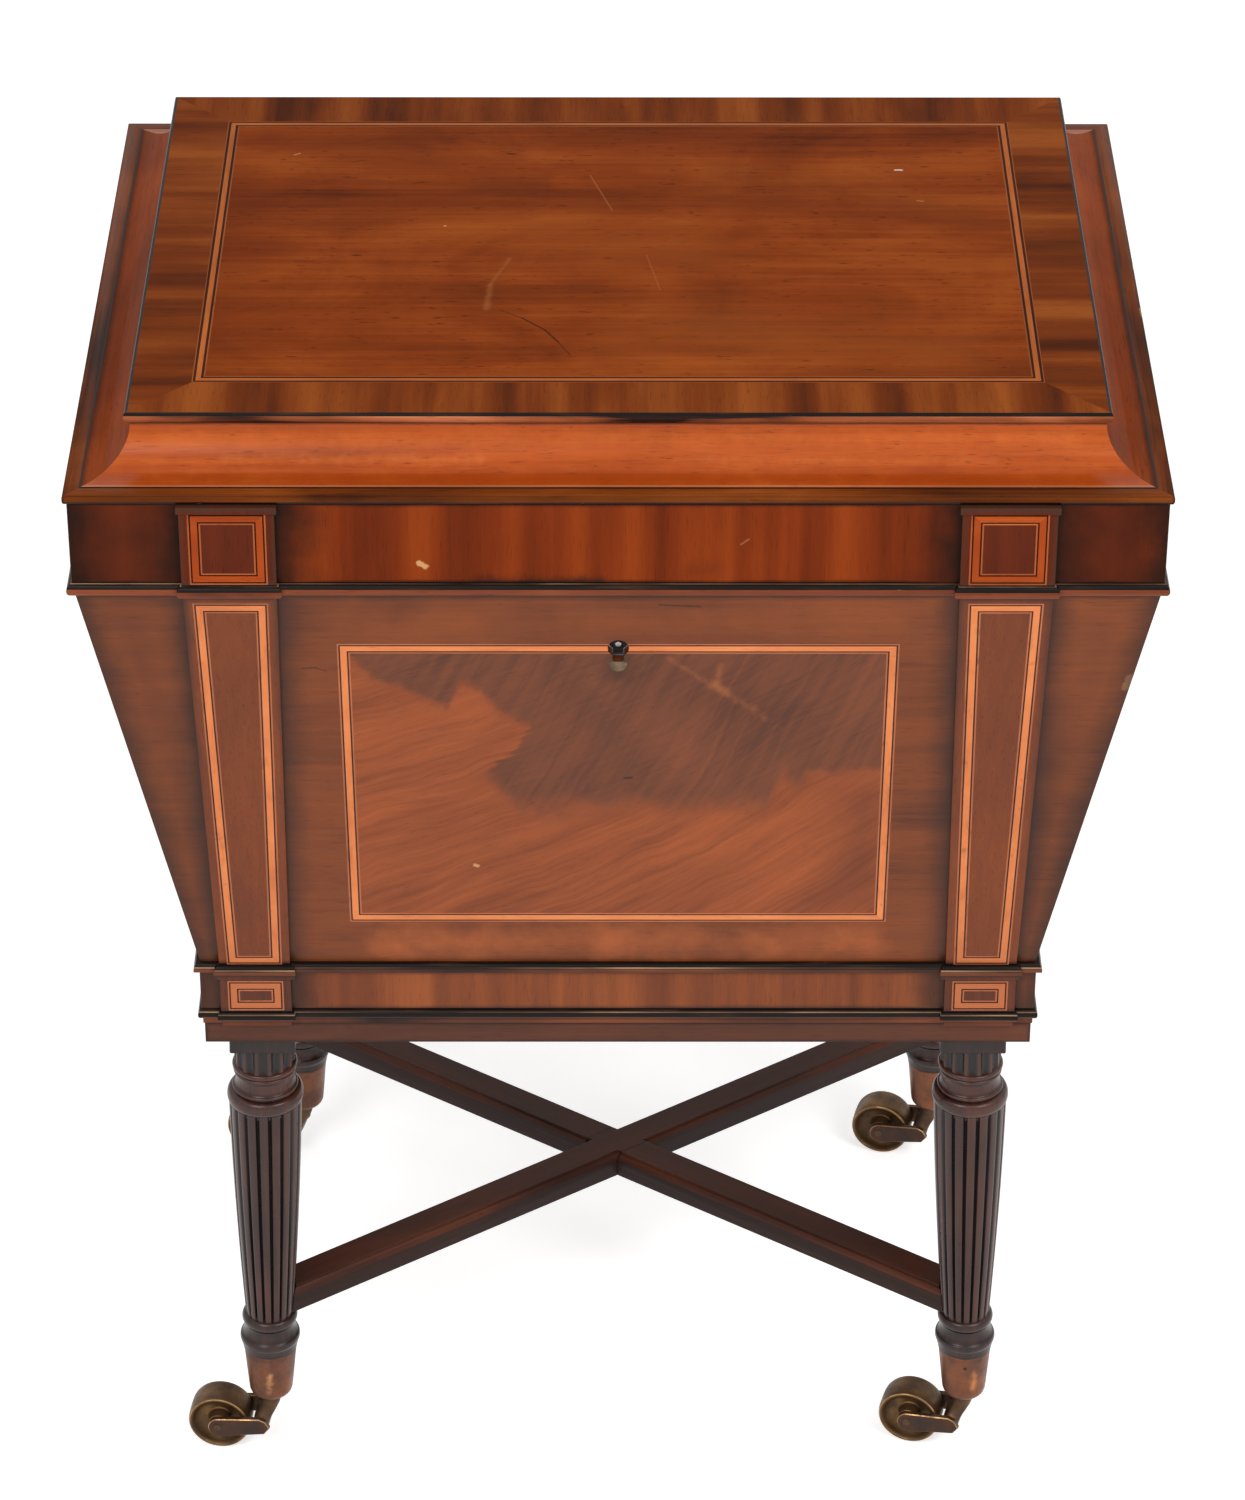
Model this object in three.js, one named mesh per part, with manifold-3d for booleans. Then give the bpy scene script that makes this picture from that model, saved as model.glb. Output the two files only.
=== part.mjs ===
// A cellarette: a coved and inlaid lid hinged over a tapering wine box, on a stand with four
// turned and reeded legs, an X stretcher and brass castors.
// Millimetres, +Z up, the front towards -Y, the origin on the floor under the middle.

import * as THREE from 'three';
import { mergeVertices } from 'three/addons/utils/BufferGeometryUtils.js';
import Module from 'manifold-3d';

const wasm = await Module();
wasm.setup();

// Fits between pieces
const fit = 0.3; // between pieces that are glued, screwed or resting
const runningFit = 0.4; // round a piece that turns or slides
const lidGap = 0.4; // between the closed lid and the body
const cutMargin = 2; // how far a cutting shape runs past the wood it cuts
const weldTolerance = 0.0001; // closer points than this are one
const sinkShare = 0.25; // of a ring's height, how far a turned stretch runs on inside its neighbour

// Overall
const ledgeWidth = 560;
const ledgeDepth = 428;
const overallHeight = 712;

// Lid. An inset is a distance in from the ledge's outer edge, the same on all four sides.
const nosingHeight = 7;
const nosingInset = 30;
const nosingArrisSetback = 1;
const nosingArrisDrop = 1.5;
const nosingLipSetback = 3;
const coveHeight = 23.4;
const coveHeadInset = 33;
const coveFootInset = 9;
const coveInnerInset = 58;
const ledgeHeight = 5.4;
const ledgeEdgeRound = 1.2;
const lidFriezeHeight = 46;
const lidFriezeInset = 2;
const lidBoardThickness = 14;
const beadHeight = 7.2;
const beadProjection = 2.6;
const beadHeel = 0.8;

// Blocks and pilasters on the front
const pilasterSetback = 82.4; // from the ledge's end in to the middle of a block
const blockProud = 3;
const blockHalfWidth = 24.2;
const blockCapHeight = 4;
const blockCapProjection = 1.2;
const pilasterTopHalf = 24;
const pilasterFootHalf = 19.3;
const baseBlockHalf = 19.4;
const baseCapHeight = 3.4;
const baseCapProjection = 2.6;

// Body
const bodyTopInset = 3.4;
const bodyFootInset = 53.4;
const bodyHeight = 267.5;
const bodyThickness = 16;
const baseMouldingHeight = 5.6;
const baseMouldingHeadProjection = 0.5;
const baseMouldingProjection = 4.4;
const baseMouldingToe = 1.4;
const baseFriezeHeight = 25.5;
const baseFriezeInset = 52;
const baseFriezeThickness = 16;
const bottomBoardThickness = 12;

// Liner and bottle dividers
const linerGap = 1;
const linerThickness = 2;
const linerTopDrop = 9;
const dividerThickness = 6;
const dividerHeight = 140;
const dividerEndGap = 0.6;
const dividerColumns = 4;
const dividerRows = 3;

// Stand
const standMouldingHeight = 10;
const standBeadHeight = 6;
const standBeadProjection = 1.9;
const standBeadSetback = 0.7;
const standFilletInset = 52.6;
const standMouldingWidth = 20;
const plinthHeight = 13;
const plinthInset = 53.3;
const plinthRailWidth = 50;
const legSetback = 12;

// Legs, from the top down
const frontSplayShares = [0.0175, 0.03]; // sideways and outward lean for each unit of drop
const backSplayShares = [0, 0.045];
const legBlockSide = 36.4;
const legBlockHeight = 16.2;
const neckHeight = 16;
const neckHeadRadius = 16.6;
const neckFootRadius = 17;
const fluteCount = 14;
const fluteDepth = 1.8;
const fluteRunout = 2.4;
const neckRingHeight = 3.6;
const neckRingRadius = 18.2;
const neckFilletHeight = 2.8;
const neckFilletRadius = 17.6;
const hollowHeight = 8;
const hollowRadius = 16.4;
const neckStepHeight = 2.6;
const neckStepRadius = 18.5;
const collarHeight = 9.4;
const collarRadius = 21.4;
const shaftHeadRadius = 20.5;
const shaftFootRadius = 13.7;
const shaftSwell = 0.85;
const reedCount = 18;
const reedDepth = 1.6;
const reedRunout = 2.6;
const footRingHeight = 7;
const footRingRadius = 15.9;
const footHollowHeight = 8;
const footHollowRadius = 14.3;
const footHollowDrop = 2;
const footLipRadius = 16.3;
const footBeadHeight = 4.8;
const footBeadRadius = 17.2;
const footBandHeight = 4.8;
const footBandRadius = 16;

// Stretcher
const stretcherWidth = 22.8;
const stretcherThickness = 16;
const stretcherRise = 16.6; // from the foot of the reeded shafts up to the top
const stretcherStepDrop = 1; // from the top down to the foot of the small step
const stretcherHollowWidth = 1.4;
const stretcherHollowDrop = 1.8;
const stretcherBeadWidth = 1.6;
const stretcherBeadDrop = 4.6;
const tenonWidth = 9;
const tenonHeight = 9;
const tenonLength = 6;

// Castor cups
const cupHeight = 33.4;
const cupMouthRadius = 15.2;
const cupHeelRadius = 12.5;
const cupHeelHeight = 4;
const cupToeRadius = 11.2;
const cupToeHeight = 1.2;
const cupSoleRadius = 9;
const cupWall = 2;
const cupBaseThickness = 4.4;
const rivetRoom = 6.4; // empty height in the cup, under the end of the leg

// Castor forks, axles and wheels
const castorHeight = 39.8; // from the floor up to the cup
const castorTrail = 30.4;
const spindleRadius = 3.8;
const rivetRadius = 6.4;
const rivetHeight = 2.4;
const stemHalf = 6.3;
const stemNeckDrop = 12;
const stemCrankDrop = 14;
const stemHeelSetback = 1.6;
const stemHeelRise = 3;
const armHeight = 9.8;
const armThickness = 3.4;
const wheelRadius = 18.2;
const wheelCrown = 0.4;
const wheelHalfWidth = 8.8;
const wheelRimThickness = 2.2;
const wheelRimBevel = 0.6;
const wheelWebHalf = 2.6;
const wheelDishDrop = 3;
const hubRadius = 6.4;
const hubHalf = 9.2;
const yokeWheelGap = 1.8;
const axleRadius = 2.4;
const castorTurns = { frontLeft: -7, frontRight: -16, backLeft: -14, backRight: -14 }; // degrees, as found

// Hinges
const hingeLength = 50;
const hingeSetback = 115; // from the ledge's end in to the middle of a hinge
const hingeLeafThickness = 2;
const hingeLeafReach = 13;
const knuckleRadius = 3;
const hingePinRadius = 1.3;
const knuckleCount = 3;

// Lock
const lockWidth = 64;
const lockHeight = 46;
const lockDepth = 11;
const lockTopDrop = 2.6;
const lockWall = 1.6;
const keyholeDrop = 36.7; // from the body's top down to the keyhole's round
const keyholeRadius = 5.4;
const keyholeSlotHalf = 2.9;
const keyholeLength = 9;
const drillPinRadius = 1.7;
const drillPinSetback = 3;
const boltTravel = 8;
const boltWidth = 46;
const boltSetLeft = 5; // the bar stands left of the middle at rest
const boltHeight = 6;
const boltThickness = 3;
const boltDrop = 15;
const boltRest = 1; // from a prong's tip to its loop, unlocked
const loopSpacing = 30;
const loopThickness = 2.4;
const loopWidth = 5.2;
const loopSetback = 0.2; // the loops hang plumb in a leaning lock, so they start a little forward
const loopDepth = 12.6;
const loopEyeHalf = 1.7;
const loopSlotFit = 0.9;
const prongHeight = 2.4;
const prongRise = 3.4;
const postWidth = 3;
const linkPlateWidth = 60;
const linkPlateThickness = 2;
const linkPlateHalfDepth = 5;

// How fine the round stretches are
const legSegments = 16;
const cupSegments = 14;
const wheelSegments = 14;
const pinSegments = 10;
const coveSteps = 6;

// Heights above the floor, worked down from the top
const nosingFoot = overallHeight - nosingHeight;
const coveTop = nosingFoot - fit;
const ledgeTop = coveTop - coveHeight - fit;
const ledgeFoot = ledgeTop - ledgeHeight;
const lidFriezeTop = ledgeFoot - fit;
const lidFriezeFoot = lidFriezeTop - lidFriezeHeight;
const beadTop = lidFriezeFoot - fit;
const lidFoot = beadTop - beadHeight;
const bodyTop = lidFoot - lidGap;
const bodyFoot = bodyTop - bodyHeight;
const baseFriezeTop = bodyFoot - fit;
const baseFriezeFoot = baseFriezeTop - baseFriezeHeight;
const standTop = baseFriezeFoot - fit;
const standMouldingFoot = standTop - standMouldingHeight;
const plinthTop = standMouldingFoot - fit;
const plinthFoot = plinthTop - plinthHeight;
const legTop = plinthFoot - fit;
const bottomBoardTop = baseFriezeTop;

// Leg levels
const legNeckTop = legTop - legBlockHeight;
const legRingTop = legNeckTop - neckHeight;
const legFilletTop = legRingTop - neckRingHeight;
const legHollowTop = legFilletTop - neckFilletHeight;
const legStepTop = legHollowTop - hollowHeight;
const legCollarTop = legStepTop - neckStepHeight;
const shaftTop = legCollarTop - collarHeight;

// Levels worked up from the floor: the reeded shaft takes up what is left between the two
const cupFoot = castorHeight;
const cupFloor = cupFoot + cupBaseThickness;
const legEnd = cupFloor + rivetRoom;
const cupTop = cupFoot + cupHeight;
const legShoulder = cupTop + fit;
const footBandTop = legShoulder + footBandHeight;
const footBeadTop = footBandTop + footBeadHeight;
const footHollowTop = footBeadTop + footHollowHeight;
const shaftFoot = footHollowTop + footRingHeight;
const shaftLength = shaftTop - shaftFoot;
const stretcherTop = shaftFoot + stretcherRise;

// Positions in plan
const pilasterCentre = ledgeWidth / 2 - pilasterSetback;
const hingeCentre = ledgeWidth / 2 - hingeSetback;
const plinthHalfWidth = ledgeWidth / 2 - plinthInset;
const plinthHalfDepth = ledgeDepth / 2 - plinthInset;
const legX = plinthHalfWidth - legSetback - legBlockSide / 2;
const legY = plinthHalfDepth - legSetback - legBlockSide / 2;
const hingeAxisY = ledgeDepth / 2 - lidFriezeInset + beadProjection;
const hingeAxisZ = (lidFoot + bodyTop) / 2;
const linkPlateY = -(ledgeDepth / 2 - bodyTopInset - bodyThickness / 2);

const finish = (color, roughness, metalness = 0) => (
  new THREE.MeshStandardMaterial({ color, roughness, metalness }));
const finishes = {
  topVeneer: finish(0x8a5a3c, 0.35),
  cove: finish(0xa8551f, 0.3),
  mahogany: finish(0x5c2a1c, 0.35),
  darkMahogany: finish(0x3b1f18, 0.35),
  ebonised: finish(0x17110e, 0.4),
  legs: finish(0x2c1814, 0.3),
  secondary: finish(0x9a7a55, 0.7),
  lead: finish(0x6f7274, 0.65, 0.6),
  castorCup: finish(0x7a4427, 0.4, 0.8),
  antiqueBrass: finish(0x5a4a28, 0.45, 0.85),
  brass: finish(0xb08a3c, 0.35, 0.9),
  steel: finish(0x6b6b6b, 0.4, 0.9),
};

const model = new THREE.Group();
const lid = new THREE.Group();
const body = new THREE.Group();
const stand = new THREE.Group();
model.add(lid, body, stand);

/** Six times the volume inside a triangle mesh: negative when its faces point inwards. */
function signedVolume(position, index) {
  const [a, b, c] = [new THREE.Vector3(), new THREE.Vector3(), new THREE.Vector3()];
  let sum = 0;
  for (let i = 0; i < index.length; i += 3) {
    a.fromBufferAttribute(position, index[i]);
    b.fromBufferAttribute(position, index[i + 1]);
    c.fromBufferAttribute(position, index[i + 2]);
    sum += a.dot(b.cross(c));
  }
  return sum;
}

/** Welds a geometry's vertices, drops collapsed triangles and turns its faces outwards. */
function welded(geometry) {
  const bare = geometry.clone();
  for (const name of Object.keys(bare.attributes)) {
    if (name !== 'position') bare.deleteAttribute(name);
  }
  bare.clearGroups();
  const merged = mergeVertices(bare, weldTolerance);
  const index = [];
  for (let i = 0; i < merged.index.count; i += 3) {
    const [a, b, c] = [0, 1, 2].map((corner) => merged.index.getX(i + corner));
    if (a !== b && b !== c && c !== a) index.push(a, b, c);
  }
  if (signedVolume(merged.attributes.position, index) < 0) index.reverse();
  merged.setIndex(index);
  return merged;
}

/** The solid inside a closed geometry. */
function solidOf(geometry) {
  const closed = welded(geometry);
  return new wasm.Manifold(new wasm.Mesh({
    numProp: 3,
    vertProperties: new Float32Array(closed.attributes.position.array),
    triVerts: new Uint32Array(closed.index.array),
  }));
}

/** The geometry of a solid's surface. */
function surfaceOf(solid) {
  const mesh = solid.getMesh();
  const geometry = new THREE.BufferGeometry();
  geometry.setAttribute('position', new THREE.BufferAttribute(new Float32Array(mesh.vertProperties), 3));
  geometry.setIndex(new THREE.BufferAttribute(new Uint32Array(mesh.triVerts), 1));
  return geometry;
}

const joined = (...geometries) => surfaceOf(geometries.map(solidOf).reduce((whole, next) => whole.add(next)));
const cutBy = (geometry, ...tools) => surfaceOf(
  tools.map(solidOf).reduce((whole, tool) => whole.subtract(tool), solidOf(geometry)));
const common = (first, second) => surfaceOf(solidOf(first).intersect(solidOf(second)));

/** Adds a named piece to a group. */
function addPiece(group, name, geometry, material) {
  const mesh = new THREE.Mesh(welded(geometry), material);
  mesh.name = name;
  group.add(mesh);
  return mesh;
}

/**
 * A closed surface through rings of points, each ring as long as the last. The first and last
 * rings are level and get flat ends, unless the rings close on themselves as a frame's do.
 */
function loft(rings, closesOnItself = false) {
  const size = rings[0].length;
  const index = [];
  const bands = closesOnItself ? rings.length : rings.length - 1;
  for (let band = 0; band < bands; band += 1) {
    const low = band * size;
    const high = ((band + 1) % rings.length) * size;
    for (let i = 0; i < size; i += 1) {
      const next = (i + 1) % size;
      index.push(low + i, low + next, high + next, low + i, high + next, high + i);
    }
  }
  if (!closesOnItself) {
    const last = (rings.length - 1) * size;
    const flat = (ring) => ring.map(([x, y]) => new THREE.Vector2(x, y));
    const capOf = (ring) => THREE.ShapeUtils.triangulateShape(flat(ring), []);
    for (const [a, b, c] of capOf(rings[0])) index.push(a, c, b);
    for (const [a, b, c] of capOf(rings[rings.length - 1])) index.push(last + a, last + b, last + c);
  }
  const geometry = new THREE.BufferGeometry();
  geometry.setAttribute('position', new THREE.Float32BufferAttribute(rings.flat(2), 3));
  geometry.setIndex(index);
  return geometry;
}

/** A box given by its lowest and highest corners. */
function boxBetween([x0, y0, z0], [x1, y1, z1]) {
  const box = new THREE.BoxGeometry(x1 - x0, y1 - y0, z1 - z0);
  return box.translate((x0 + x1) / 2, (y0 + y1) / 2, (z0 + z1) / 2);
}

/** A cylinder along X, Y or Z about the point given, from one end value to the other. */
function rod(axis, [x, y, z], from, to, radius, segments = pinSegments) {
  const cylinder = new THREE.CylinderGeometry(radius, radius, to - from, segments);
  const middle = (from + to) / 2;
  if (axis === 'x') return cylinder.rotateZ(Math.PI / 2).translate(middle, y, z);
  if (axis === 'y') return cylinder.translate(x, middle, z);
  return cylinder.rotateX(Math.PI / 2).translate(x, y, middle);
}

/** A turned solid about Z, from [radius, height] points that start and end on the axis. */
function turned(points, segments) {
  const profile = points.map(([radius, height]) => new THREE.Vector2(radius, height));
  return new THREE.LatheGeometry(profile, segments).rotateX(Math.PI / 2);
}

/** A flat shape in X and Z, extruded along Y from one side to the other. */
function slab(outline, from, to) {
  const shape = new THREE.Shape(outline.map(([x, z]) => new THREE.Vector2(x, z)));
  const extruded = new THREE.ExtrudeGeometry(shape, { depth: to - from, bevelEnabled: false });
  return extruded.rotateX(Math.PI / 2).translate(0, to, 0);
}

/** The four corners of a level rectangle at an inset from the ledge's edge. */
function rectangle(inset, z) {
  const x = ledgeWidth / 2 - inset;
  const y = ledgeDepth / 2 - inset;
  return [[-x, -y, z], [x, -y, z], [x, y, z], [-x, y, z]];
}

/**
 * The same rectangle, stepping forward on its front round the two blocks. The steps keep
 * the same projection beyond the block's sides as the rectangle has beyond the face, and
 * are never narrower than half a block.
 */
function brokenRectangle(inset, z, proud, faceInset, halfWidth) {
  const x = ledgeWidth / 2 - inset;
  const y = ledgeDepth / 2 - inset;
  const half = Math.max(halfWidth + faceInset - inset, halfWidth / 2);
  const steps = [-pilasterCentre, pilasterCentre].flatMap((centre) => [
    [centre - half, -y, z], [centre - half, -y - proud, z],
    [centre + half, -y - proud, z], [centre + half, -y, z],
  ]);
  return [[-x, -y, z], ...steps, [x, -y, z], [x, y, z], [-x, y, z]];
}

/** How far in the body's canted face stands at a height. */
function bodyInset(z) {
  return bodyTopInset + (bodyFootInset - bodyTopInset) * (bodyTop - z) / bodyHeight;
}

/** Points of a bulge in [radius, z], between two levels, from one radius out to another. */
function bulge(root, crown, top, foot, steps = 3) {
  return Array.from({ length: steps + 1 }, (_, i) => {
    const angle = Math.PI * (i / steps);
    return [root + (crown - root) * Math.sin(angle), top + (foot - top) * (1 - Math.cos(angle)) / 2];
  });
}

// Lid

/** The top board: one slab with a rounded nosing worked on its edge. */
function topBoard() {
  return loft([
    rectangle(nosingInset + nosingLipSetback, nosingFoot),
    rectangle(nosingInset, nosingFoot + nosingHeight / 2),
    rectangle(nosingInset + nosingArrisSetback / 2, overallHeight - nosingArrisDrop),
    rectangle(nosingInset + nosingArrisSetback, overallHeight),
  ]);
}

/** The coved frame between the ledge and the top board. */
function coveFrame() {
  const foot = ledgeTop + fit;
  const curve = [];
  for (let i = 0; i <= coveSteps; i += 1) {
    const angle = (Math.PI / 2) * (i / coveSteps);
    const inset = coveFootInset + (coveHeadInset - coveFootInset) * Math.sin(angle);
    curve.push([inset, foot + (coveTop - foot) * (1 - Math.cos(angle))]);
  }
  const outline = [[coveInnerInset, foot], ...curve, [coveInnerInset, coveTop]];
  return loft(outline.map(([inset, z]) => rectangle(inset, z)), true);
}

/** The ledge frame, rounded on its upper and lower edges. */
function ledgeFrame() {
  const outline = [
    [coveInnerInset, ledgeFoot], [lidFriezeInset, ledgeFoot],
    [ledgeEdgeRound / 2, ledgeFoot + ledgeEdgeRound], [0, ledgeFoot + ledgeHeight / 2],
    [0, ledgeTop - ledgeEdgeRound], [ledgeEdgeRound, ledgeTop],
    [coveInnerInset, ledgeTop],
  ];
  return loft(outline.map(([inset, z]) => rectangle(inset, z)), true);
}

/**
 * One of four boards mitred into a box. The outer face stands at one inset at the foot and
 * another at the top, and the mitres keep the glue gap between neighbours.
 */
function wallBoard(side, [footInset, foot], [topInset, top], thickness) {
  const back = fit * Math.SQRT1_2;
  const turn = { front: 0, right: 1, back: 2, left: 3 }[side];
  const [along, out] = turn % 2 === 0 ? [ledgeWidth / 2, ledgeDepth / 2] : [ledgeDepth / 2, ledgeWidth / 2];
  const ring = (inset, z) => [
    [-(along - inset - back), -(out - inset), z], [along - inset - back, -(out - inset), z],
    [along - inset - thickness - back, -(out - inset - thickness), z],
    [-(along - inset - thickness - back), -(out - inset - thickness), z],
  ];
  return loft([ring(footInset, foot), ring(topInset, top)]).rotateZ(turn * Math.PI / 2);
}

/** The boxes that let the hinge knuckles into the moulding behind the lid. */
function knuckleNotches(low, high) {
  return [-hingeCentre, hingeCentre].map((x) => boxBetween(
    [x - hingeLength / 2 - fit, hingeAxisY - knuckleRadius - runningFit, low],
    [x + hingeLength / 2 + fit, hingeAxisY + knuckleRadius + cutMargin, high]));
}

/** The recesses for the hinge leaves, between two heights. */
function leafRecesses(low, high) {
  return [-hingeCentre, hingeCentre].map((x) => boxBetween(
    [x - hingeLength / 2 - fit, hingeAxisY - knuckleRadius - hingeLeafReach - fit, low],
    [x + hingeLength / 2 + fit, hingeAxisY + cutMargin, high]));
}

/** The bead round the lid's lower edge, stepped forward under the blocks. */
function lidBead() {
  const inner = lidFriezeInset + lidBoardThickness;
  const crown = lidFriezeInset - beadProjection;
  const middle = (beadTop + lidFoot) / 2;
  const outline = [
    [inner, lidFoot, 0], [lidFriezeInset - beadHeel, lidFoot, blockProud],
    [(crown + lidFriezeInset - beadHeel) / 2, lidFoot + beadHeel, blockProud],
    [crown, middle - beadHeel, blockProud], [crown, middle + beadHeel, blockProud],
    [(crown + lidFriezeInset) / 2, beadTop - beadHeel, blockProud], [lidFriezeInset, beadTop, blockProud],
    [inner, beadTop, 0],
  ];
  const ring = ([inset, z, proud]) => brokenRectangle(inset, z, proud, lidFriezeInset, blockHalfWidth);
  const linkRecess = boxBetween(
    [-linkPlateWidth / 2 - fit, linkPlateY - linkPlateHalfDepth - fit, lidFoot - cutMargin],
    [linkPlateWidth / 2 + fit, linkPlateY + linkPlateHalfDepth + fit, lidFoot + linkPlateThickness + fit]);
  return cutBy(
    loft(outline.map(ring), true),
    ...knuckleNotches(lidFoot - cutMargin, hingeAxisZ + knuckleRadius + runningFit),
    ...leafRecesses(lidFoot - cutMargin, lidFoot + hingeLeafThickness + fit),
    linkRecess);
}

/** A block on the lid's frieze with a thin cap under the ledge. */
function lidBlock(side) {
  const x = side * pilasterCentre;
  const face = -(ledgeDepth / 2 - lidFriezeInset);
  const capFoot = lidFriezeTop - blockCapHeight;
  const slabAt = (half, proud, z) => [
    [x - half, face - proud, z], [x + half, face - proud, z],
    [x + half, face - fit, z], [x - half, face - fit, z],
  ];
  const capHalf = blockHalfWidth + blockCapProjection;
  const capProud = blockProud + blockCapProjection;
  return loft([
    slabAt(blockHalfWidth, blockProud, lidFriezeFoot), slabAt(blockHalfWidth, blockProud, capFoot),
    slabAt(capHalf, capProud, capFoot), slabAt(capHalf, capProud, lidFriezeTop),
  ]);
}

addPiece(lid, 'lid_top_board', topBoard(), finishes.topVeneer);
addPiece(lid, 'lid_cove', coveFrame(), finishes.cove);
addPiece(lid, 'lid_ledge', ledgeFrame(), finishes.darkMahogany);
for (const side of ['front', 'back', 'left', 'right']) {
  const ends = [[lidFriezeInset, lidFriezeFoot], [lidFriezeInset, lidFriezeTop]];
  addPiece(lid, `lid_frieze_${side}`, wallBoard(side, ...ends, lidBoardThickness), finishes.mahogany);
}
addPiece(lid, 'lid_bead', lidBead(), finishes.ebonised);
addPiece(lid, 'lid_block_left', lidBlock(-1), finishes.mahogany);
addPiece(lid, 'lid_block_right', lidBlock(1), finishes.mahogany);

// Body

const canter = Math.atan((bodyFootInset - bodyTopInset) / bodyHeight);
const lockFrame = new THREE.Matrix4()
  .makeTranslation(0, -(ledgeDepth / 2 - bodyTopInset), bodyTop)
  .multiply(new THREE.Matrix4().makeRotationX(canter));

/** Moves a shape made in the lock's own frame, Y into the wood and Z up the face, into place. */
const inLockFrame = (geometry) => geometry.applyMatrix4(lockFrame);

const boardDepth = bodyThickness * Math.cos(canter);
const lockBack = boardDepth;
const lockFront = boardDepth - lockDepth;

/** The keyhole's outline: a round head over a slot. */
function keyholeOutline(clearance) {
  const radius = keyholeRadius - clearance;
  const half = keyholeSlotHalf - clearance;
  const start = Math.asin(half / radius) - Math.PI / 2;
  const sweep = 2 * Math.PI - 2 * Math.asin(half / radius);
  const steps = pinSegments;
  const head = Array.from({ length: steps + 1 }, (_, i) => {
    const angle = start + sweep * (i / steps);
    return [radius * Math.cos(angle), -keyholeDrop + radius * Math.sin(angle)];
  });
  const foot = -keyholeDrop - keyholeLength + clearance;
  return [...head, [-half, foot], [half, foot]];
}

/** The recess that the lock case is let into, open at the board's inner face and top edge. */
function lockRecess() {
  return inLockFrame(boxBetween(
    [-lockWidth / 2 - fit, lockFront - fit, -lockTopDrop - lockHeight - fit],
    [lockWidth / 2 + fit, lockBack + cutMargin, lockTopDrop + cutMargin]));
}

/** One of the body's four canted boards, with what is let into it. */
function bodyBoard(side) {
  const board = wallBoard(side, [bodyFootInset, bodyFoot], [bodyTopInset, bodyTop], bodyThickness);
  if (side === 'front') {
    const keyhole = inLockFrame(slab(keyholeOutline(0), -cutMargin, lockBack));
    return cutBy(board, keyhole, lockRecess());
  }
  if (side === 'back') {
    return cutBy(board, ...leafRecesses(bodyTop - hingeLeafThickness - fit, bodyTop + cutMargin));
  }
  return board;
}

/** A tapering pilaster planted on the front board. */
function pilaster(side) {
  const foot = bodyFoot + baseMouldingHeight + fit;
  const ring = (z, half) => {
    const face = -(ledgeDepth / 2 - bodyInset(z));
    const x = side * pilasterCentre;
    return [
      [x - half, face - blockProud, z], [x + half, face - blockProud, z], [x + half, face - fit, z],
      [x - half, face - fit, z],
    ];
  };
  return loft([ring(foot, pilasterFootHalf), ring(bodyTop, pilasterTopHalf)]);
}

/** The moulding round the body's foot, stepped forward under the pilasters. */
function baseMoulding() {
  const foot = bodyFoot;
  const top = foot + baseMouldingHeight;
  const crown = bodyFootInset - baseMouldingProjection;
  const outline = [
    [bodyInset(foot) - fit, foot, 0], [crown + fit, foot, blockProud],
    [crown, foot + baseMouldingToe, blockProud],
    [crown + baseMouldingHeadProjection, foot + baseMouldingHeight / 2, blockProud],
    [bodyInset(top) - baseMouldingHeadProjection - fit, top, blockProud], [bodyInset(top) - fit, top, 0],
  ];
  return loft(outline.map(([inset, z, proud]) => brokenRectangle(
    inset, z, proud, baseFriezeInset, pilasterFootHalf)), true);
}

/** A block on the base frieze with a thin cap under the moulding. */
function baseBlock(side) {
  const x = side * pilasterCentre;
  const face = -(ledgeDepth / 2 - baseFriezeInset);
  const capFoot = baseFriezeTop - baseCapHeight;
  const slabAt = (half, proud, z) => [
    [x - half, face - proud, z], [x + half, face - proud, z],
    [x + half, face - fit, z], [x - half, face - fit, z],
  ];
  const capHalf = baseBlockHalf + baseCapProjection;
  const capProud = blockProud + baseCapProjection / 2;
  return loft([
    slabAt(baseBlockHalf, blockProud, baseFriezeFoot), slabAt(baseBlockHalf, blockProud, capFoot),
    slabAt(capHalf, capProud, capFoot), slabAt(capHalf, capProud, baseFriezeTop),
  ]);
}

/** A frame of four rails with square edges. */
function plainFrame(outerInset, width, foot, top) {
  const outline = [
    [outerInset + width, foot], [outerInset, foot], [outerInset, top], [outerInset + width, top],
  ];
  return loft(outline.map(([inset, z]) => rectangle(inset, z)), true);
}

for (const side of ['front', 'back', 'left', 'right']) {
  addPiece(body, `body_${side}`, bodyBoard(side), finishes.mahogany);
}
addPiece(body, 'pilaster_left', pilaster(-1), finishes.mahogany);
addPiece(body, 'pilaster_right', pilaster(1), finishes.mahogany);
addPiece(body, 'base_moulding', baseMoulding(), finishes.ebonised);
addPiece(body, 'base_frieze', plainFrame(baseFriezeInset, baseFriezeThickness, baseFriezeFoot, baseFriezeTop),
  finishes.mahogany);
addPiece(body, 'base_block_left', baseBlock(-1), finishes.mahogany);
addPiece(body, 'base_block_right', baseBlock(1), finishes.mahogany);
const bottomInset = baseFriezeInset + baseFriezeThickness + fit;
addPiece(body, 'body_bottom', loft([
  rectangle(bottomInset, bottomBoardTop - bottomBoardThickness), rectangle(bottomInset, bottomBoardTop),
]), finishes.secondary);

// Liner and dividers

const linerFoot = bottomBoardTop + fit;
const linerTop = bodyTop - linerTopDrop;
const linerFloor = linerFoot + linerThickness;
const linerOuter = (z) => bodyInset(z) + bodyThickness + linerGap;
const linerInner = (z) => linerOuter(z) + linerThickness;

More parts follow.
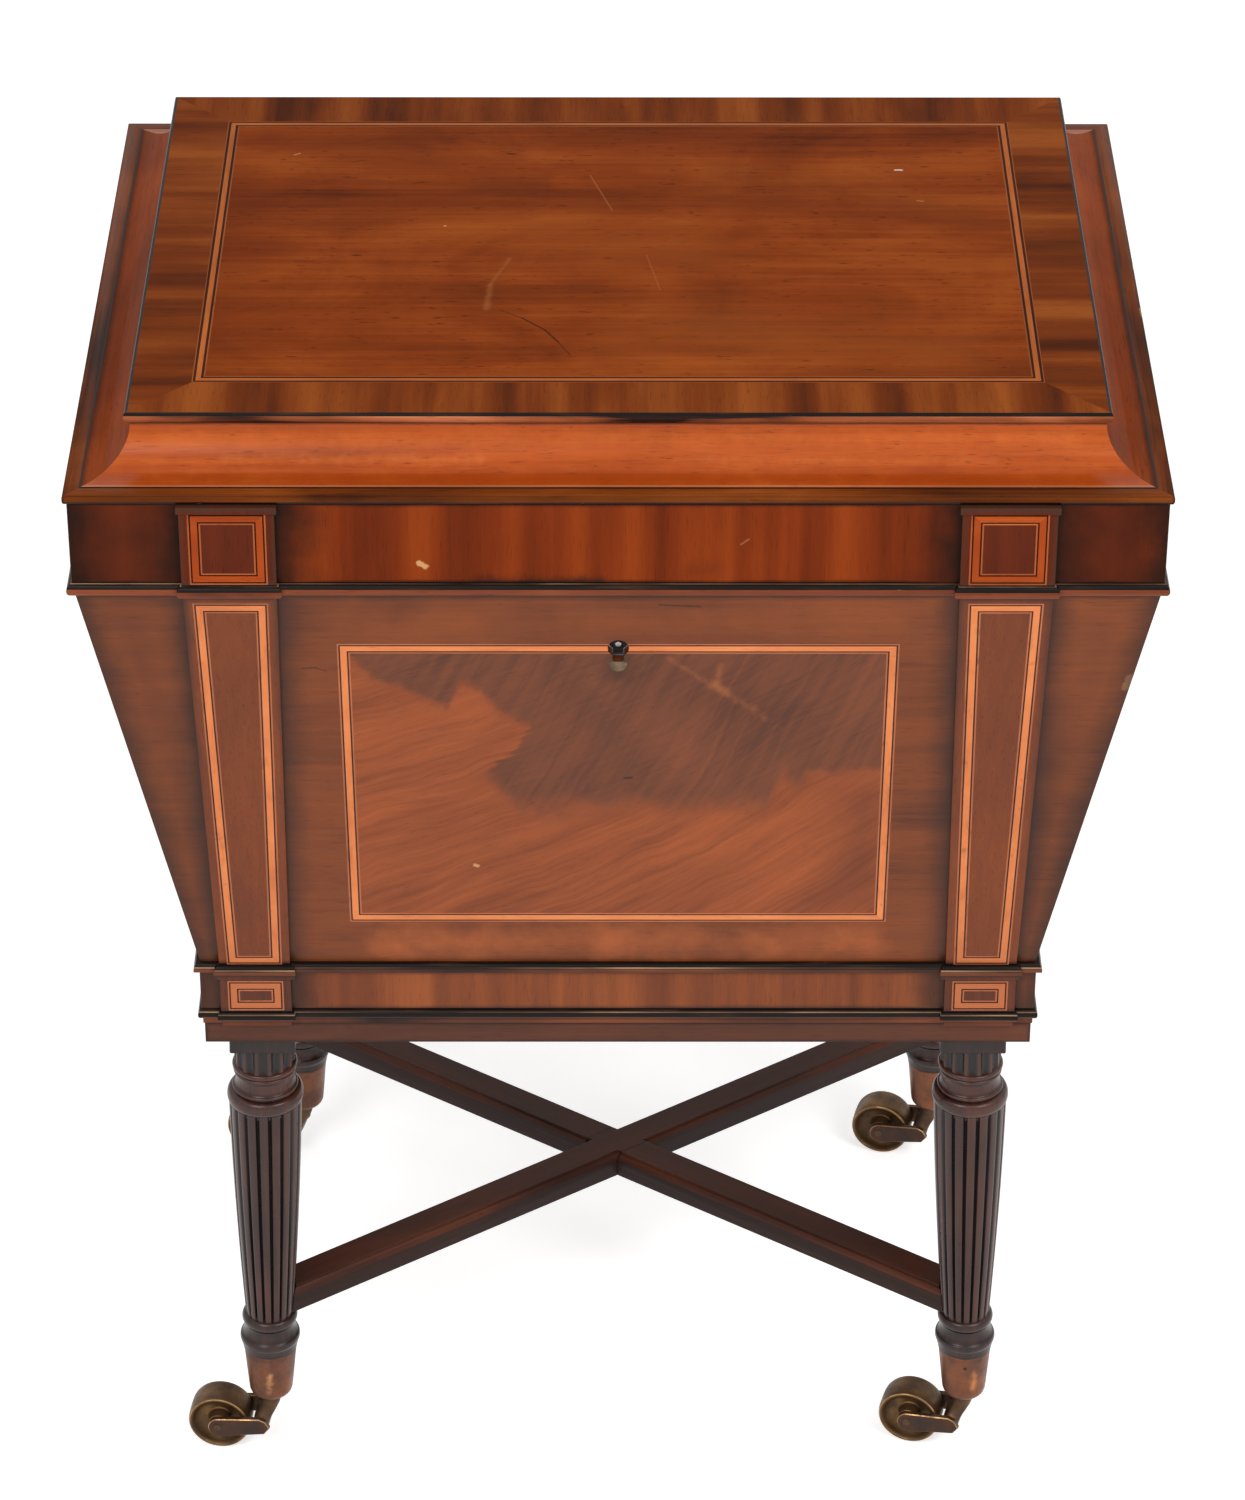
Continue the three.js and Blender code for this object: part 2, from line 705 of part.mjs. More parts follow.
addPiece(body, 'liner', loft([
  rectangle(linerOuter(linerFoot), linerFoot), rectangle(linerOuter(linerTop), linerTop),
  rectangle(linerInner(linerTop), linerTop), rectangle(linerInner(linerFloor), linerFloor),
]), finishes.lead);

const dividerFoot = linerFloor + fit;
const dividerTop = dividerFoot + dividerHeight;
const dividerMiddle = (dividerFoot + dividerTop) / 2;
const slotHalf = dividerThickness / 2 + fit;
const columnPitch = (ledgeWidth - 2 * linerInner(linerFloor)) / dividerColumns;
const rowPitch = (ledgeDepth - 2 * linerInner(linerFloor)) / dividerRows;
const placesOf = (count, pitch) => Array.from({ length: count - 1 }, (_, i) => (i + 1 - count / 2) * pitch);
const columnPlaces = placesOf(dividerColumns, columnPitch);
const rowPlaces = placesOf(dividerRows, rowPitch);

/** A strip that stands across the liner, its ends canted as the liner's walls are, halved over others. */
function divider(span, crossings, slotFrom, slotTo) {
  const reach = (z) => span / 2 - linerInner(z) - dividerEndGap;
  const strip = slab([
    [-reach(dividerFoot), dividerFoot], [reach(dividerFoot), dividerFoot],
    [reach(dividerTop), dividerTop], [-reach(dividerTop), dividerTop],
  ], -dividerThickness / 2, dividerThickness / 2);
  const slots = crossings.map((x) => boxBetween(
    [x - slotHalf, -slotHalf, slotFrom], [x + slotHalf, slotHalf, slotTo]));
  return cutBy(strip, ...slots);
}

rowPlaces.forEach((y, i) => {
  const strip = divider(ledgeWidth, columnPlaces, dividerMiddle - fit / 2, dividerTop + cutMargin);
  addPiece(body, `divider_long_${i + 1}`, strip, finishes.secondary).position.y = y;
});
columnPlaces.forEach((x, i) => {
  const strip = divider(ledgeDepth, rowPlaces, dividerFoot - cutMargin, dividerMiddle + fit / 2);
  addPiece(body, `divider_short_${i + 1}`, strip.rotateZ(Math.PI / 2), finishes.secondary).position.x = x;
});

// Lock. In its own frame, Y runs into the board from the canted face and Z runs up the face.

const boltTop = -boltDrop;
const boltFoot = boltTop - boltHeight;
const boltBack = (lockFront + lockBack + boltThickness) / 2;
const boltFront = boltBack - boltThickness;
const loopPlaces = [-loopSpacing / 2, loopSpacing / 2];
const loopY = (boltFront + boltBack) / 2 - loopSetback;

/** The lock case: a hollow box with slots for the loops, a keyhole and the drill pin. */
function lockCase() {
  const low = -lockTopDrop - lockHeight;
  const shell = boxBetween([-lockWidth / 2, lockFront, low], [lockWidth / 2, lockBack, -lockTopDrop]);
  const room = boxBetween(
    [-lockWidth / 2 + lockWall, lockFront + lockWall, low + lockWall],
    [lockWidth / 2 - lockWall, lockBack - lockWall, -lockTopDrop - lockWall]);
  const slots = loopPlaces.map((x) => boxBetween(
    [x - loopThickness / 2 - loopSlotFit, lockFront + lockWall, -lockTopDrop - lockWall - cutMargin],
    [x + loopThickness / 2 + loopSlotFit, lockBack - lockWall / 2, cutMargin]));
  const keyhole = slab(keyholeOutline(fit), lockFront - cutMargin, lockFront + lockWall + cutMargin);
  const pin = rod('y', [0, 0, -keyholeDrop], drillPinSetback, lockBack - lockWall / 2, drillPinRadius);
  return joined(inLockFrame(cutBy(shell, room, ...slots, keyhole)), inLockFrame(pin));
}

/** The bolt: a bar with two posts, each with a prong that runs sideways through its loop. */
function lockBolt() {
  const bar = boxBetween(
    [-boltWidth / 2 - boltSetLeft, boltFront, boltFoot], [boltWidth / 2 - boltSetLeft, boltBack, boltTop]);
  const hooks = loopPlaces.map((x) => {
    const postRight = x - loopThickness / 2 - boltTravel - boltRest;
    const tip = x - loopThickness / 2 - boltRest;
    return slab([
      [postRight - postWidth, boltTop - boltHeight / 2], [postRight, boltTop - boltHeight / 2],
      [postRight, boltTop + prongRise], [tip, boltTop + prongRise], [tip, boltTop + prongRise + prongHeight],
      [postRight - postWidth, boltTop + prongRise + prongHeight],
    ], boltFront, boltBack);
  });
  return joined(bar, ...hooks);
}

/** The plate under the lid's front, with two loops that drop into the lock. */
function linkPlate() {
  const plate = boxBetween(
    [-linkPlateWidth / 2, linkPlateY - linkPlateHalfDepth, lidFoot],
    [linkPlateWidth / 2, linkPlateY + linkPlateHalfDepth, lidFoot + linkPlateThickness]);
  const eye = new THREE.Vector3(0, loopY, boltTop + prongRise + prongHeight / 2).applyMatrix4(lockFrame);
  const loops = loopPlaces.map((x) => boxBetween(
    [x - loopThickness / 2, eye.y - loopWidth / 2, lidFoot - loopDepth],
    [x + loopThickness / 2, eye.y + loopWidth / 2, lidFoot + linkPlateThickness / 2]));
  const eyes = loopPlaces.map((x) => boxBetween(
    [x - loopThickness, eye.y - loopEyeHalf - fit, eye.z - loopEyeHalf],
    [x + loopThickness, eye.y + loopEyeHalf + fit, eye.z + loopEyeHalf]));
  return cutBy(joined(plate, ...loops), ...eyes);
}

addPiece(body, 'lock_case', lockCase(), finishes.steel);
addPiece(body, 'lock_bolt', inLockFrame(lockBolt()), finishes.steel);
addPiece(lid, 'lid_link_plate', linkPlate(), finishes.brass);

// Hinges

/** One leaf with every second knuckle, starting at the knuckle given. */
function hingeLeaf(x, plateLow, plateHigh, firstKnuckle) {
  const knuckleLength = hingeLength / knuckleCount;
  const plate = boxBetween(
    [x - hingeLength / 2, hingeAxisY - knuckleRadius - hingeLeafReach, plateLow],
    [x + hingeLength / 2, hingeAxisY, plateHigh]);
  const barrels = [];
  const clearances = [];
  for (let i = 0; i < knuckleCount; i += 1) {
    const from = x - hingeLength / 2 + i * knuckleLength;
    if (i % 2 === firstKnuckle) {
      const end = i === knuckleCount - 1 ? 0 : fit;
      const start = i === 0 ? 0 : fit;
      barrels.push(rod('x', [x, hingeAxisY, hingeAxisZ], from + start / 2, from + knuckleLength - end / 2,
        knuckleRadius));
    } else {
      clearances.push(boxBetween(
        [from - fit / 2, hingeAxisY - knuckleRadius - runningFit, hingeAxisZ - knuckleRadius - runningFit],
        [from + knuckleLength + fit / 2, hingeAxisY + knuckleRadius + runningFit,
          hingeAxisZ + knuckleRadius + runningFit]));
    }
  }
  const bore = rod('x', [x, hingeAxisY, hingeAxisZ], x - hingeLength, x + hingeLength, hingePinRadius + fit);
  return cutBy(joined(plate, ...barrels), bore, ...clearances);
}

for (const [side, x] of [['left', -hingeCentre], ['right', hingeCentre]]) {
  addPiece(lid, `lid_hinge_leaf_${side}`, hingeLeaf(x, lidFoot, lidFoot + hingeLeafThickness, 1),
    finishes.brass);
  addPiece(body, `body_hinge_leaf_${side}`, hingeLeaf(x, bodyTop - hingeLeafThickness, bodyTop, 0),
    finishes.brass);
  addPiece(body, `hinge_pin_${side}`, rod('x', [x, hingeAxisY, hingeAxisZ], x - hingeLength / 2,
    x + hingeLength / 2, hingePinRadius), finishes.brass);
}

// Stand

/** The moulding on the stand's top edge: a bead over a fillet, both stepped under the blocks. */
function standMoulding() {
  const beadFoot = standTop - standBeadHeight;
  const crown = baseFriezeInset - standBeadProjection;
  const inner = baseFriezeInset + standMouldingWidth;
  const outline = [
    [inner, standMouldingFoot, 0], [standFilletInset, standMouldingFoot, blockProud],
    [standFilletInset, beadFoot, blockProud], [crown + standBeadSetback, beadFoot, blockProud],
    [crown, beadFoot + standBeadHeight * sinkShare, blockProud],
    [crown, beadFoot + standBeadHeight / 2, blockProud],
    [crown + standBeadSetback, standTop - standBeadSetback, blockProud],
    [baseFriezeInset, standTop, blockProud], [inner, standTop, 0],
  ];
  return loft(outline.map(([inset, z, proud]) => brokenRectangle(
    inset, z, proud, baseFriezeInset, baseBlockHalf)), true);
}

addPiece(stand, 'stand_moulding', standMoulding(), finishes.ebonised);
addPiece(stand, 'plinth_frame', plainFrame(plinthInset, plinthRailWidth, plinthFoot, plinthTop),
  finishes.darkMahogany);

// Legs

/** The shaft's radius over its reeds, swelling slightly between its two ends. */
function shaftRadius(z) {
  const share = (shaftTop - z) / shaftLength;
  return shaftHeadRadius + (shaftFootRadius - shaftHeadRadius) * share + 4 * shaftSwell * share * (1 - share);
}

/** A level ring whose radius is cut back by a share of the depth at each step of a repeat. */
function carvedRing(z, radius, depth, count, shares) {
  return Array.from({ length: count }, (_, i) => shares.map(([place, share]) => {
    const angle = (2 * Math.PI * (i + place)) / count;
    const reach = radius - depth * share;
    return [reach * Math.cos(angle), reach * Math.sin(angle), z];
  })).flat();
}

const reedShares = [[0, 1], [0.28, 0.06], [0.72, 0.06]]; // [place, depth] along one reed
const fluteShares = [[0, 1], [0.28, 0], [0.72, 0]]; // and along one flute
const shaftLevelShares = [0, 0.5];

/** The reeded shaft: rounded reeds that die out just short of its ends. */
function reededShaft() {
  const levels = shaftLevelShares.map((share) => shaftTop - share * shaftLength);
  const rings = levels.map((z) => carvedRing(z, shaftRadius(z), reedDepth, reedCount, reedShares));
  const runout = shaftFoot + reedRunout;
  rings.push(carvedRing(runout, shaftRadius(runout), reedDepth, reedCount, reedShares));
  rings.push(carvedRing(shaftFoot - footRingHeight * sinkShare, shaftFootRadius, 0, reedCount, reedShares));
  return loft(rings.reverse());
}

/** The fluted neck under the square block. */
function flutedNeck() {
  const runout = legRingTop + fluteRunout;
  const share = fluteRunout / neckHeight;
  const runoutRadius = neckFootRadius + (neckHeadRadius - neckFootRadius) * share;
  return loft([
    carvedRing(legRingTop - neckRingHeight * sinkShare, neckFootRadius, 0, fluteCount, fluteShares),
    carvedRing(runout, runoutRadius, fluteDepth, fluteCount, fluteShares),
    carvedRing(legNeckTop + fit, neckHeadRadius, fluteDepth, fluteCount, fluteShares),
  ]);
}

/** The rings, hollow and collar between the neck and the shaft. */
function neckRings() {
  return turned([
    [0, legRingTop + fit], [hollowRadius, legRingTop + fit],
    ...bulge(neckFilletRadius, neckRingRadius, legRingTop, legFilletTop, 2),
    ...bulge(hollowRadius, neckFilletRadius, legFilletTop, legHollowTop, 2),
    [hollowRadius, legHollowTop - hollowHeight / 2], [neckFootRadius, legStepTop + fit],
    [neckStepRadius, legStepTop], [neckStepRadius, legCollarTop],
    ...bulge(shaftHeadRadius - reedDepth, collarRadius, legCollarTop, shaftTop),
    [shaftHeadRadius - reedDepth, shaftTop - reedRunout], [0, shaftTop - reedRunout],
  ], legSegments);
}

/** The ring, hollow, bead and band under the shaft, and the tapered end inside the cup. */
function legFoot() {
  return turned([
    [0, shaftFoot + fit], [shaftFootRadius - reedDepth, shaftFoot + fit],
    ...bulge(footHollowRadius, footRingRadius, shaftFoot, footHollowTop),
    [footHollowRadius, footHollowTop - footHollowDrop],
    ...bulge(footLipRadius, footBeadRadius, footBeadTop, footBandTop, 2),
    [footBandRadius, footBandTop], [cupMouthRadius + fit, legShoulder],
    [cupInnerRadius(cupTop) - fit, legShoulder], [cupInnerRadius(legEnd) - fit, legEnd], [0, legEnd],
  ], legSegments);
}

/** The cup's inner radius at a height. */
function cupInnerRadius(z) {
  const heel = cupFoot + cupHeelHeight;
  return cupHeelRadius - cupWall + (cupMouthRadius - cupHeelRadius) * (z - heel) / (cupTop - heel);
}

const splayOf = (sideY) => (sideY < 0 ? frontSplayShares : backSplayShares);

/** Leans a leg or cup outwards from the leg's top, keeping its level rings level. */
function splayed(geometry, sideX, sideY) {
  const [leanX, leanY] = splayOf(sideY);
  const lean = new THREE.Matrix4().makeShear(0, 0, 0, 0, -sideX * leanX, -sideY * leanY);
  return geometry.translate(0, 0, -legTop).applyMatrix4(lean).translate(sideX * legX, sideY * legY, legTop);
}

/** Where a leg's leaning axis passes a height. */
function legAxis(sideX, sideY, z) {
  const [leanX, leanY] = splayOf(sideY);
  const drop = legTop - z;
  return [sideX * (legX + leanX * drop), sideY * (legY + leanY * drop)];
}

// One arm runs from the front left leg to the back right one and the other mirrors it.
const stretcherFoot = stretcherTop - stretcherThickness;
const stretcherMiddle = (stretcherTop + stretcherFoot) / 2;
const [armFrontX, armFrontY] = legAxis(1, -1, stretcherMiddle);
const [armBackX, armBackY] = legAxis(1, 1, stretcherMiddle);
const armHalfLength = Math.hypot(armFrontX + armBackX, armBackY - armFrontY) / 2;
const armTurn = Math.atan2(armBackY - armFrontY, armFrontX + armBackX);
const tenonEnd = armHalfLength - shaftRadius(stretcherMiddle) + tenonLength;

/** Moves a shape made along X into an arm's place; the side is that of the arm's front leg. */
function alongArm(geometry, side) {
  return geometry.rotateZ(-side * armTurn)
    .translate(side * (armFrontX - armBackX) / 2, (armFrontY + armBackY) / 2, 0);
}

/** The mortise in a leg for the tenon of its arm. */
function mortise(sideX, sideY) {
  const armSide = -sideX * sideY;
  const half = tenonWidth / 2 + fit;
  const box = boxBetween(
    [tenonEnd - tenonLength - tenonLength, -half, stretcherMiddle - tenonHeight / 2 - fit],
    [tenonEnd + fit, half, stretcherMiddle + tenonHeight / 2 + fit]);
  return alongArm(sideX < 0 ? box.rotateZ(Math.PI) : box, armSide);
}

/** A whole leg: square block, fluted neck, rings, reeded shaft and foot, with its mortise. */
function legSolid(sideX, sideY) {
  const half = legBlockSide / 2;
  const block = boxBetween([-half, -half, legNeckTop], [half, half, legTop]);
  const leg = splayed(joined(block, flutedNeck(), neckRings(), reededShaft(), legFoot()), sideX, sideY);
  return cutBy(leg, mortise(sideX, sideY));
}

const corners = [['front_left', -1, -1], ['front_right', 1, -1], ['back_left', -1, 1], ['back_right', 1, 1]];
for (const [name, sideX, sideY] of corners) {
  addPiece(stand, `leg_${name}`, legSolid(sideX, sideY), finishes.legs);
}

// Stretcher

const stretcherHalf = stretcherWidth / 2;
const beadRoot = stretcherHalf - stretcherBeadWidth;
const stretcherFlatHalf = beadRoot - stretcherHollowWidth;

/** Half of an arm's section, from its foot up over the moulded edge to the flat, as [across, z]. */
const sectionSide = [
  [stretcherHalf, stretcherFoot], [stretcherHalf, stretcherTop - stretcherBeadDrop],
  [(stretcherHalf + beadRoot) / 2, stretcherTop - (stretcherBeadDrop + stretcherHollowDrop) / 2],
  [beadRoot, stretcherTop - stretcherHollowDrop], [stretcherFlatHalf, stretcherTop - stretcherStepDrop],
  [stretcherFlatHalf, stretcherTop],
];

/** A bar along X with the moulded section. */
function mouldedBar(reach) {
  const outline = [...sectionSide, ...sectionSide.map(([across, z]) => [-across, z]).reverse()];
  return slab(outline, -reach, reach).rotateZ(Math.PI / 2);
}

const plainBar = (reach, half, foot, top) => boxBetween([-reach, -half, foot], [reach, half, top]);

/** An arm from leg to leg: moulded, flat across the crossing, halved, with a tenon at each end. */
function stretcherArm(side, crossingFoot, crossingTop) {
  const bar = alongArm(mouldedBar(armHalfLength), side);
  const flat = common(
    alongArm(plainBar(armHalfLength, stretcherHalf, stretcherFoot, stretcherTop), side),
    alongArm(plainBar(armHalfLength, stretcherFlatHalf, stretcherFoot, stretcherTop), -side));
  const tenon = alongArm(plainBar(tenonEnd, tenonWidth / 2, stretcherMiddle - tenonHeight / 2,
    stretcherMiddle + tenonHeight / 2), side);
  const scribeRadius = (z) => (shaftRadius(z) + fit) / Math.cos(Math.PI / legSegments);
  const [low, high] = [stretcherFoot - cutMargin, stretcherTop + cutMargin];
  const legs = corners.map(([, sideX, sideY]) => splayed(turned([
    [0, low], [scribeRadius(low), low], [scribeRadius(high), high], [0, high],
  ], legSegments), sideX, sideY));
  const halving = alongArm(plainBar(armHalfLength, stretcherHalf + fit, crossingFoot, crossingTop), -side);
  return cutBy(joined(cutBy(joined(bar, flat), ...legs), tenon), halving);
}

addPiece(stand, 'stretcher_over',
  stretcherArm(-1, stretcherFoot - cutMargin, stretcherMiddle + fit / 2), finishes.legs);
addPiece(stand, 'stretcher_under',
  stretcherArm(1, stretcherMiddle - fit / 2, stretcherTop + cutMargin), finishes.legs);

// Castors

/** The tapered brass cup on the end of a leg, bored for the spindle. */
function castorCup() {
  const bore = spindleRadius + runningFit;
  const profile = [
    [bore, cupFoot], [cupSoleRadius, cupFoot], [cupToeRadius, cupFoot + cupToeHeight],
    [cupHeelRadius, cupFoot + cupHeelHeight], [cupMouthRadius, cupTop], [cupInnerRadius(cupTop), cupTop],
    [cupInnerRadius(cupFloor), cupFloor], [bore, cupFloor], [bore, cupFoot],
  ];
  return turned(profile, cupSegments);
}

const armInner = hubHalf + runningFit;
const armOuter = armInner + armThickness;

/** The cranked fork: a stem under the cup, a yoke behind the wheel and an arm on each side of it. */
function castorFork() {
  const top = cupFoot - runningFit;
  const armTop = wheelRadius + armHeight / 2;
  const armFoot = wheelRadius - armHeight / 2;
  const yoke = -castorTrail + wheelRadius + yokeWheelGap;
  const nose = Array.from({ length: pinSegments / 2 + 1 }, (_, i) => {
    const angle = -Math.PI / 2 - Math.PI * (i / (pinSegments / 2));
    return [-castorTrail + armHeight / 2 * Math.cos(angle), wheelRadius + armHeight / 2 * Math.sin(angle)];
  });
  const side = slab([
    [-stemHalf, top], [-stemHalf, top - stemNeckDrop], [yoke, armTop], ...nose.slice().reverse(),
    [-stemHeelSetback, armFoot + stemHeelRise], [stemHalf, top - stemCrankDrop], [stemHalf, top],
  ], -armOuter, armOuter);
  const face = slab([
    [-stemHalf, top], [-stemHalf, top - stemNeckDrop], [-armOuter, armTop], [-armOuter, armFoot - cutMargin],
    [armOuter, armFoot - cutMargin], [armOuter, armTop], [stemHalf, top - stemNeckDrop], [stemHalf, top],
  ], -castorTrail - wheelRadius, wheelRadius).rotateZ(-Math.PI / 2);
  const plan = new THREE.ExtrudeGeometry(new THREE.Shape([
    [stemHalf, -stemHalf], [0, -stemHalf], [-stemHalf, -armOuter], [-castorTrail - wheelRadius, -armOuter],
    [-castorTrail - wheelRadius, armOuter], [-stemHalf, armOuter], [0, stemHalf], [stemHalf, stemHalf],
  ].map(([x, y]) => new THREE.Vector2(x, y))), { depth: top, bevelEnabled: false });
  const wheelSlot = boxBetween([-castorTrail - wheelRadius, -armInner, 0], [yoke, armInner, top]);
  const axleHole = rod('y', [-castorTrail, 0, wheelRadius], -armOuter - cutMargin, armOuter + cutMargin,
    axleRadius + fit);
  const rivetFoot = cupFloor + runningFit;
  const spindle = rod('z', [0, 0, 0], top - cutMargin, rivetFoot + rivetHeight, spindleRadius);
  const rivet = rod('z', [0, 0, 0], rivetFoot, rivetFoot + rivetHeight, rivetRadius);
  return joined(cutBy(common(common(side, face), plan), wheelSlot, axleHole), spindle, rivet);
}

/** The dished wheel about Y, with a hub that bears on the fork's arms. */
function castorWheel() {
  const bore = axleRadius + runningFit;
  const rim = wheelRadius - wheelCrown;
  const rimInner = rim - wheelRimThickness;
  const half = [
    [rim, wheelHalfWidth], [rimInner, wheelHalfWidth - wheelRimBevel],
    [rimInner - wheelDishDrop / 2, wheelWebHalf + wheelDishDrop], [hubRadius + wheelDishDrop, wheelWebHalf],
    [hubRadius, wheelWebHalf], [hubRadius - wheelRimBevel, hubHalf], [bore, hubHalf],
  ];
  const profile = [
    [wheelRadius, 0], ...half, ...half.map(([radius, across]) => [radius, -across]).reverse(),
    [wheelRadius, 0],
  ];
  return new THREE.LatheGeometry(profile.map(([r, across]) => new THREE.Vector2(r, across)), wheelSegments);
}

const turnOf = {
  front_left: castorTurns.frontLeft, front_right: castorTurns.frontRight,
  back_left: castorTurns.backLeft, back_right: castorTurns.backRight,
};
for (const [name, sideX, sideY] of corners) {
  addPiece(stand, `castor_cup_${name}`, splayed(castorCup(), sideX, sideY), finishes.castorCup);
  const castor = new THREE.Group();
  const [axisX, axisY] = legAxis(sideX, sideY, cupFoot);
  castor.position.set(axisX, axisY, 0);
  castor.rotation.z = THREE.MathUtils.degToRad(turnOf[name]);
  stand.add(castor);
  addPiece(castor, `castor_fork_${name}`, castorFork(), finishes.antiqueBrass);
  const wheel = addPiece(castor, `castor_wheel_${name}`, castorWheel(), finishes.antiqueBrass);
  wheel.position.set(-castorTrail, 0, wheelRadius);
  addPiece(castor, `castor_axle_${name}`, rod('y', [-castorTrail, 0, wheelRadius], -armOuter, armOuter,
    axleRadius), finishes.antiqueBrass);
}

export default model;
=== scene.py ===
"""A cellarette with a coved, inlaid lid on a stand of four reeded legs, dressed for pictures.

Sizes are in millimetres until a mesh is made, the front faces -Y and the floor is at zero.
"""

from __future__ import annotations

import logging
import math
from dataclasses import dataclass
from enum import Enum
from functools import reduce
from typing import Any, Callable, Iterable, Sequence

import bmesh
import bpy
import numpy as np
from mathutils import Euler, Matrix, Vector

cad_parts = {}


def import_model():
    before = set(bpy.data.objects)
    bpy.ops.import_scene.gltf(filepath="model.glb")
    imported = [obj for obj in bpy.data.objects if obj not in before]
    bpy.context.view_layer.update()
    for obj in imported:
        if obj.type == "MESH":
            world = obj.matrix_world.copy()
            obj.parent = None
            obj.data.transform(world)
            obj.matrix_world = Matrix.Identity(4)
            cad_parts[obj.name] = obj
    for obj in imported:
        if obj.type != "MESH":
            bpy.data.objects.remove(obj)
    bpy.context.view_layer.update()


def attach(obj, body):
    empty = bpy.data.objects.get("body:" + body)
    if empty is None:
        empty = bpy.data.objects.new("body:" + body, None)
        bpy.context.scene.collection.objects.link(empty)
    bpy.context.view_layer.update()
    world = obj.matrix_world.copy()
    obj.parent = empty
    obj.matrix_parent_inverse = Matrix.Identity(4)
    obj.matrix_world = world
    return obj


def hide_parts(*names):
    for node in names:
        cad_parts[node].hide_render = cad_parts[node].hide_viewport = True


Colour = tuple[float, float, float]
Point = tuple[float, float, float]
Flat = tuple[float, float]
Ring = list[Point]

LOG = logging.getLogger("cellarette")
MM = 0.001
ARRIS = 0.35

# The least turn between two faces that leaves a sharp edge, and one that is bevelled; the turn
# and the distance, in metres, under which faces and points count as one
SHARP = math.radians(32)
BEVELLED = math.radians(40)
SAME_FACE = math.radians(0.4)
SAME_PLACE = 1e-6

# How far a shift of one moves the wood, in metres, and the points round each reed or flute
WOOD_SHIFT = (0.31, 0.17, 0.53)
POINTS_EACH = 12.0
WHITE = (1.0, 1.0, 1.0)


# Node trees


class Value:
    """A node's output that takes part in sums as a number does."""

    def __init__(self, graph: Graph, socket: bpy.types.NodeSocket) -> None:
        """Wraps one output socket of a graph."""
        self.graph = graph
        self.socket = socket

    def __add__(self, other: Operand) -> Value:
        """Self plus other."""
        return self.graph.maths("ADD", self, other)

    def __radd__(self, other: Operand) -> Value:
        """Other plus self."""
        return self.graph.maths("ADD", other, self)

    def __sub__(self, other: Operand) -> Value:
        """Self less other."""
        return self.graph.maths("SUBTRACT", self, other)

    def __rsub__(self, other: Operand) -> Value:
        """Other less self."""
        return self.graph.maths("SUBTRACT", other, self)

    def __mul__(self, other: Operand) -> Value:
        """Self times other."""
        return self.graph.maths("MULTIPLY", self, other)

    def __rmul__(self, other: Operand) -> Value:
        """Other times self."""
        return self.graph.maths("MULTIPLY", other, self)

    def __truediv__(self, other: Operand) -> Value:
        """Self divided by other."""
        return self.graph.maths("DIVIDE", self, other)

    def __rtruediv__(self, other: Operand) -> Value:
        """Other divided by self."""
        return self.graph.maths("DIVIDE", other, self)

    def __pow__(self, other: Operand) -> Value:
        """Self raised to other."""
        return self.graph.maths("POWER", self, other)

    def least(self, other: Operand) -> Value:
        """The lesser of the two."""
        return self.graph.maths("MINIMUM", self, other)

    def most(self, other: Operand) -> Value:
        """The greater of the two."""
        return self.graph.maths("MAXIMUM", self, other)

    def clamped(self) -> Value:
        """The number kept between 0 and 1."""
        return self.most(0.0).least(1.0)


Operand = Value | float


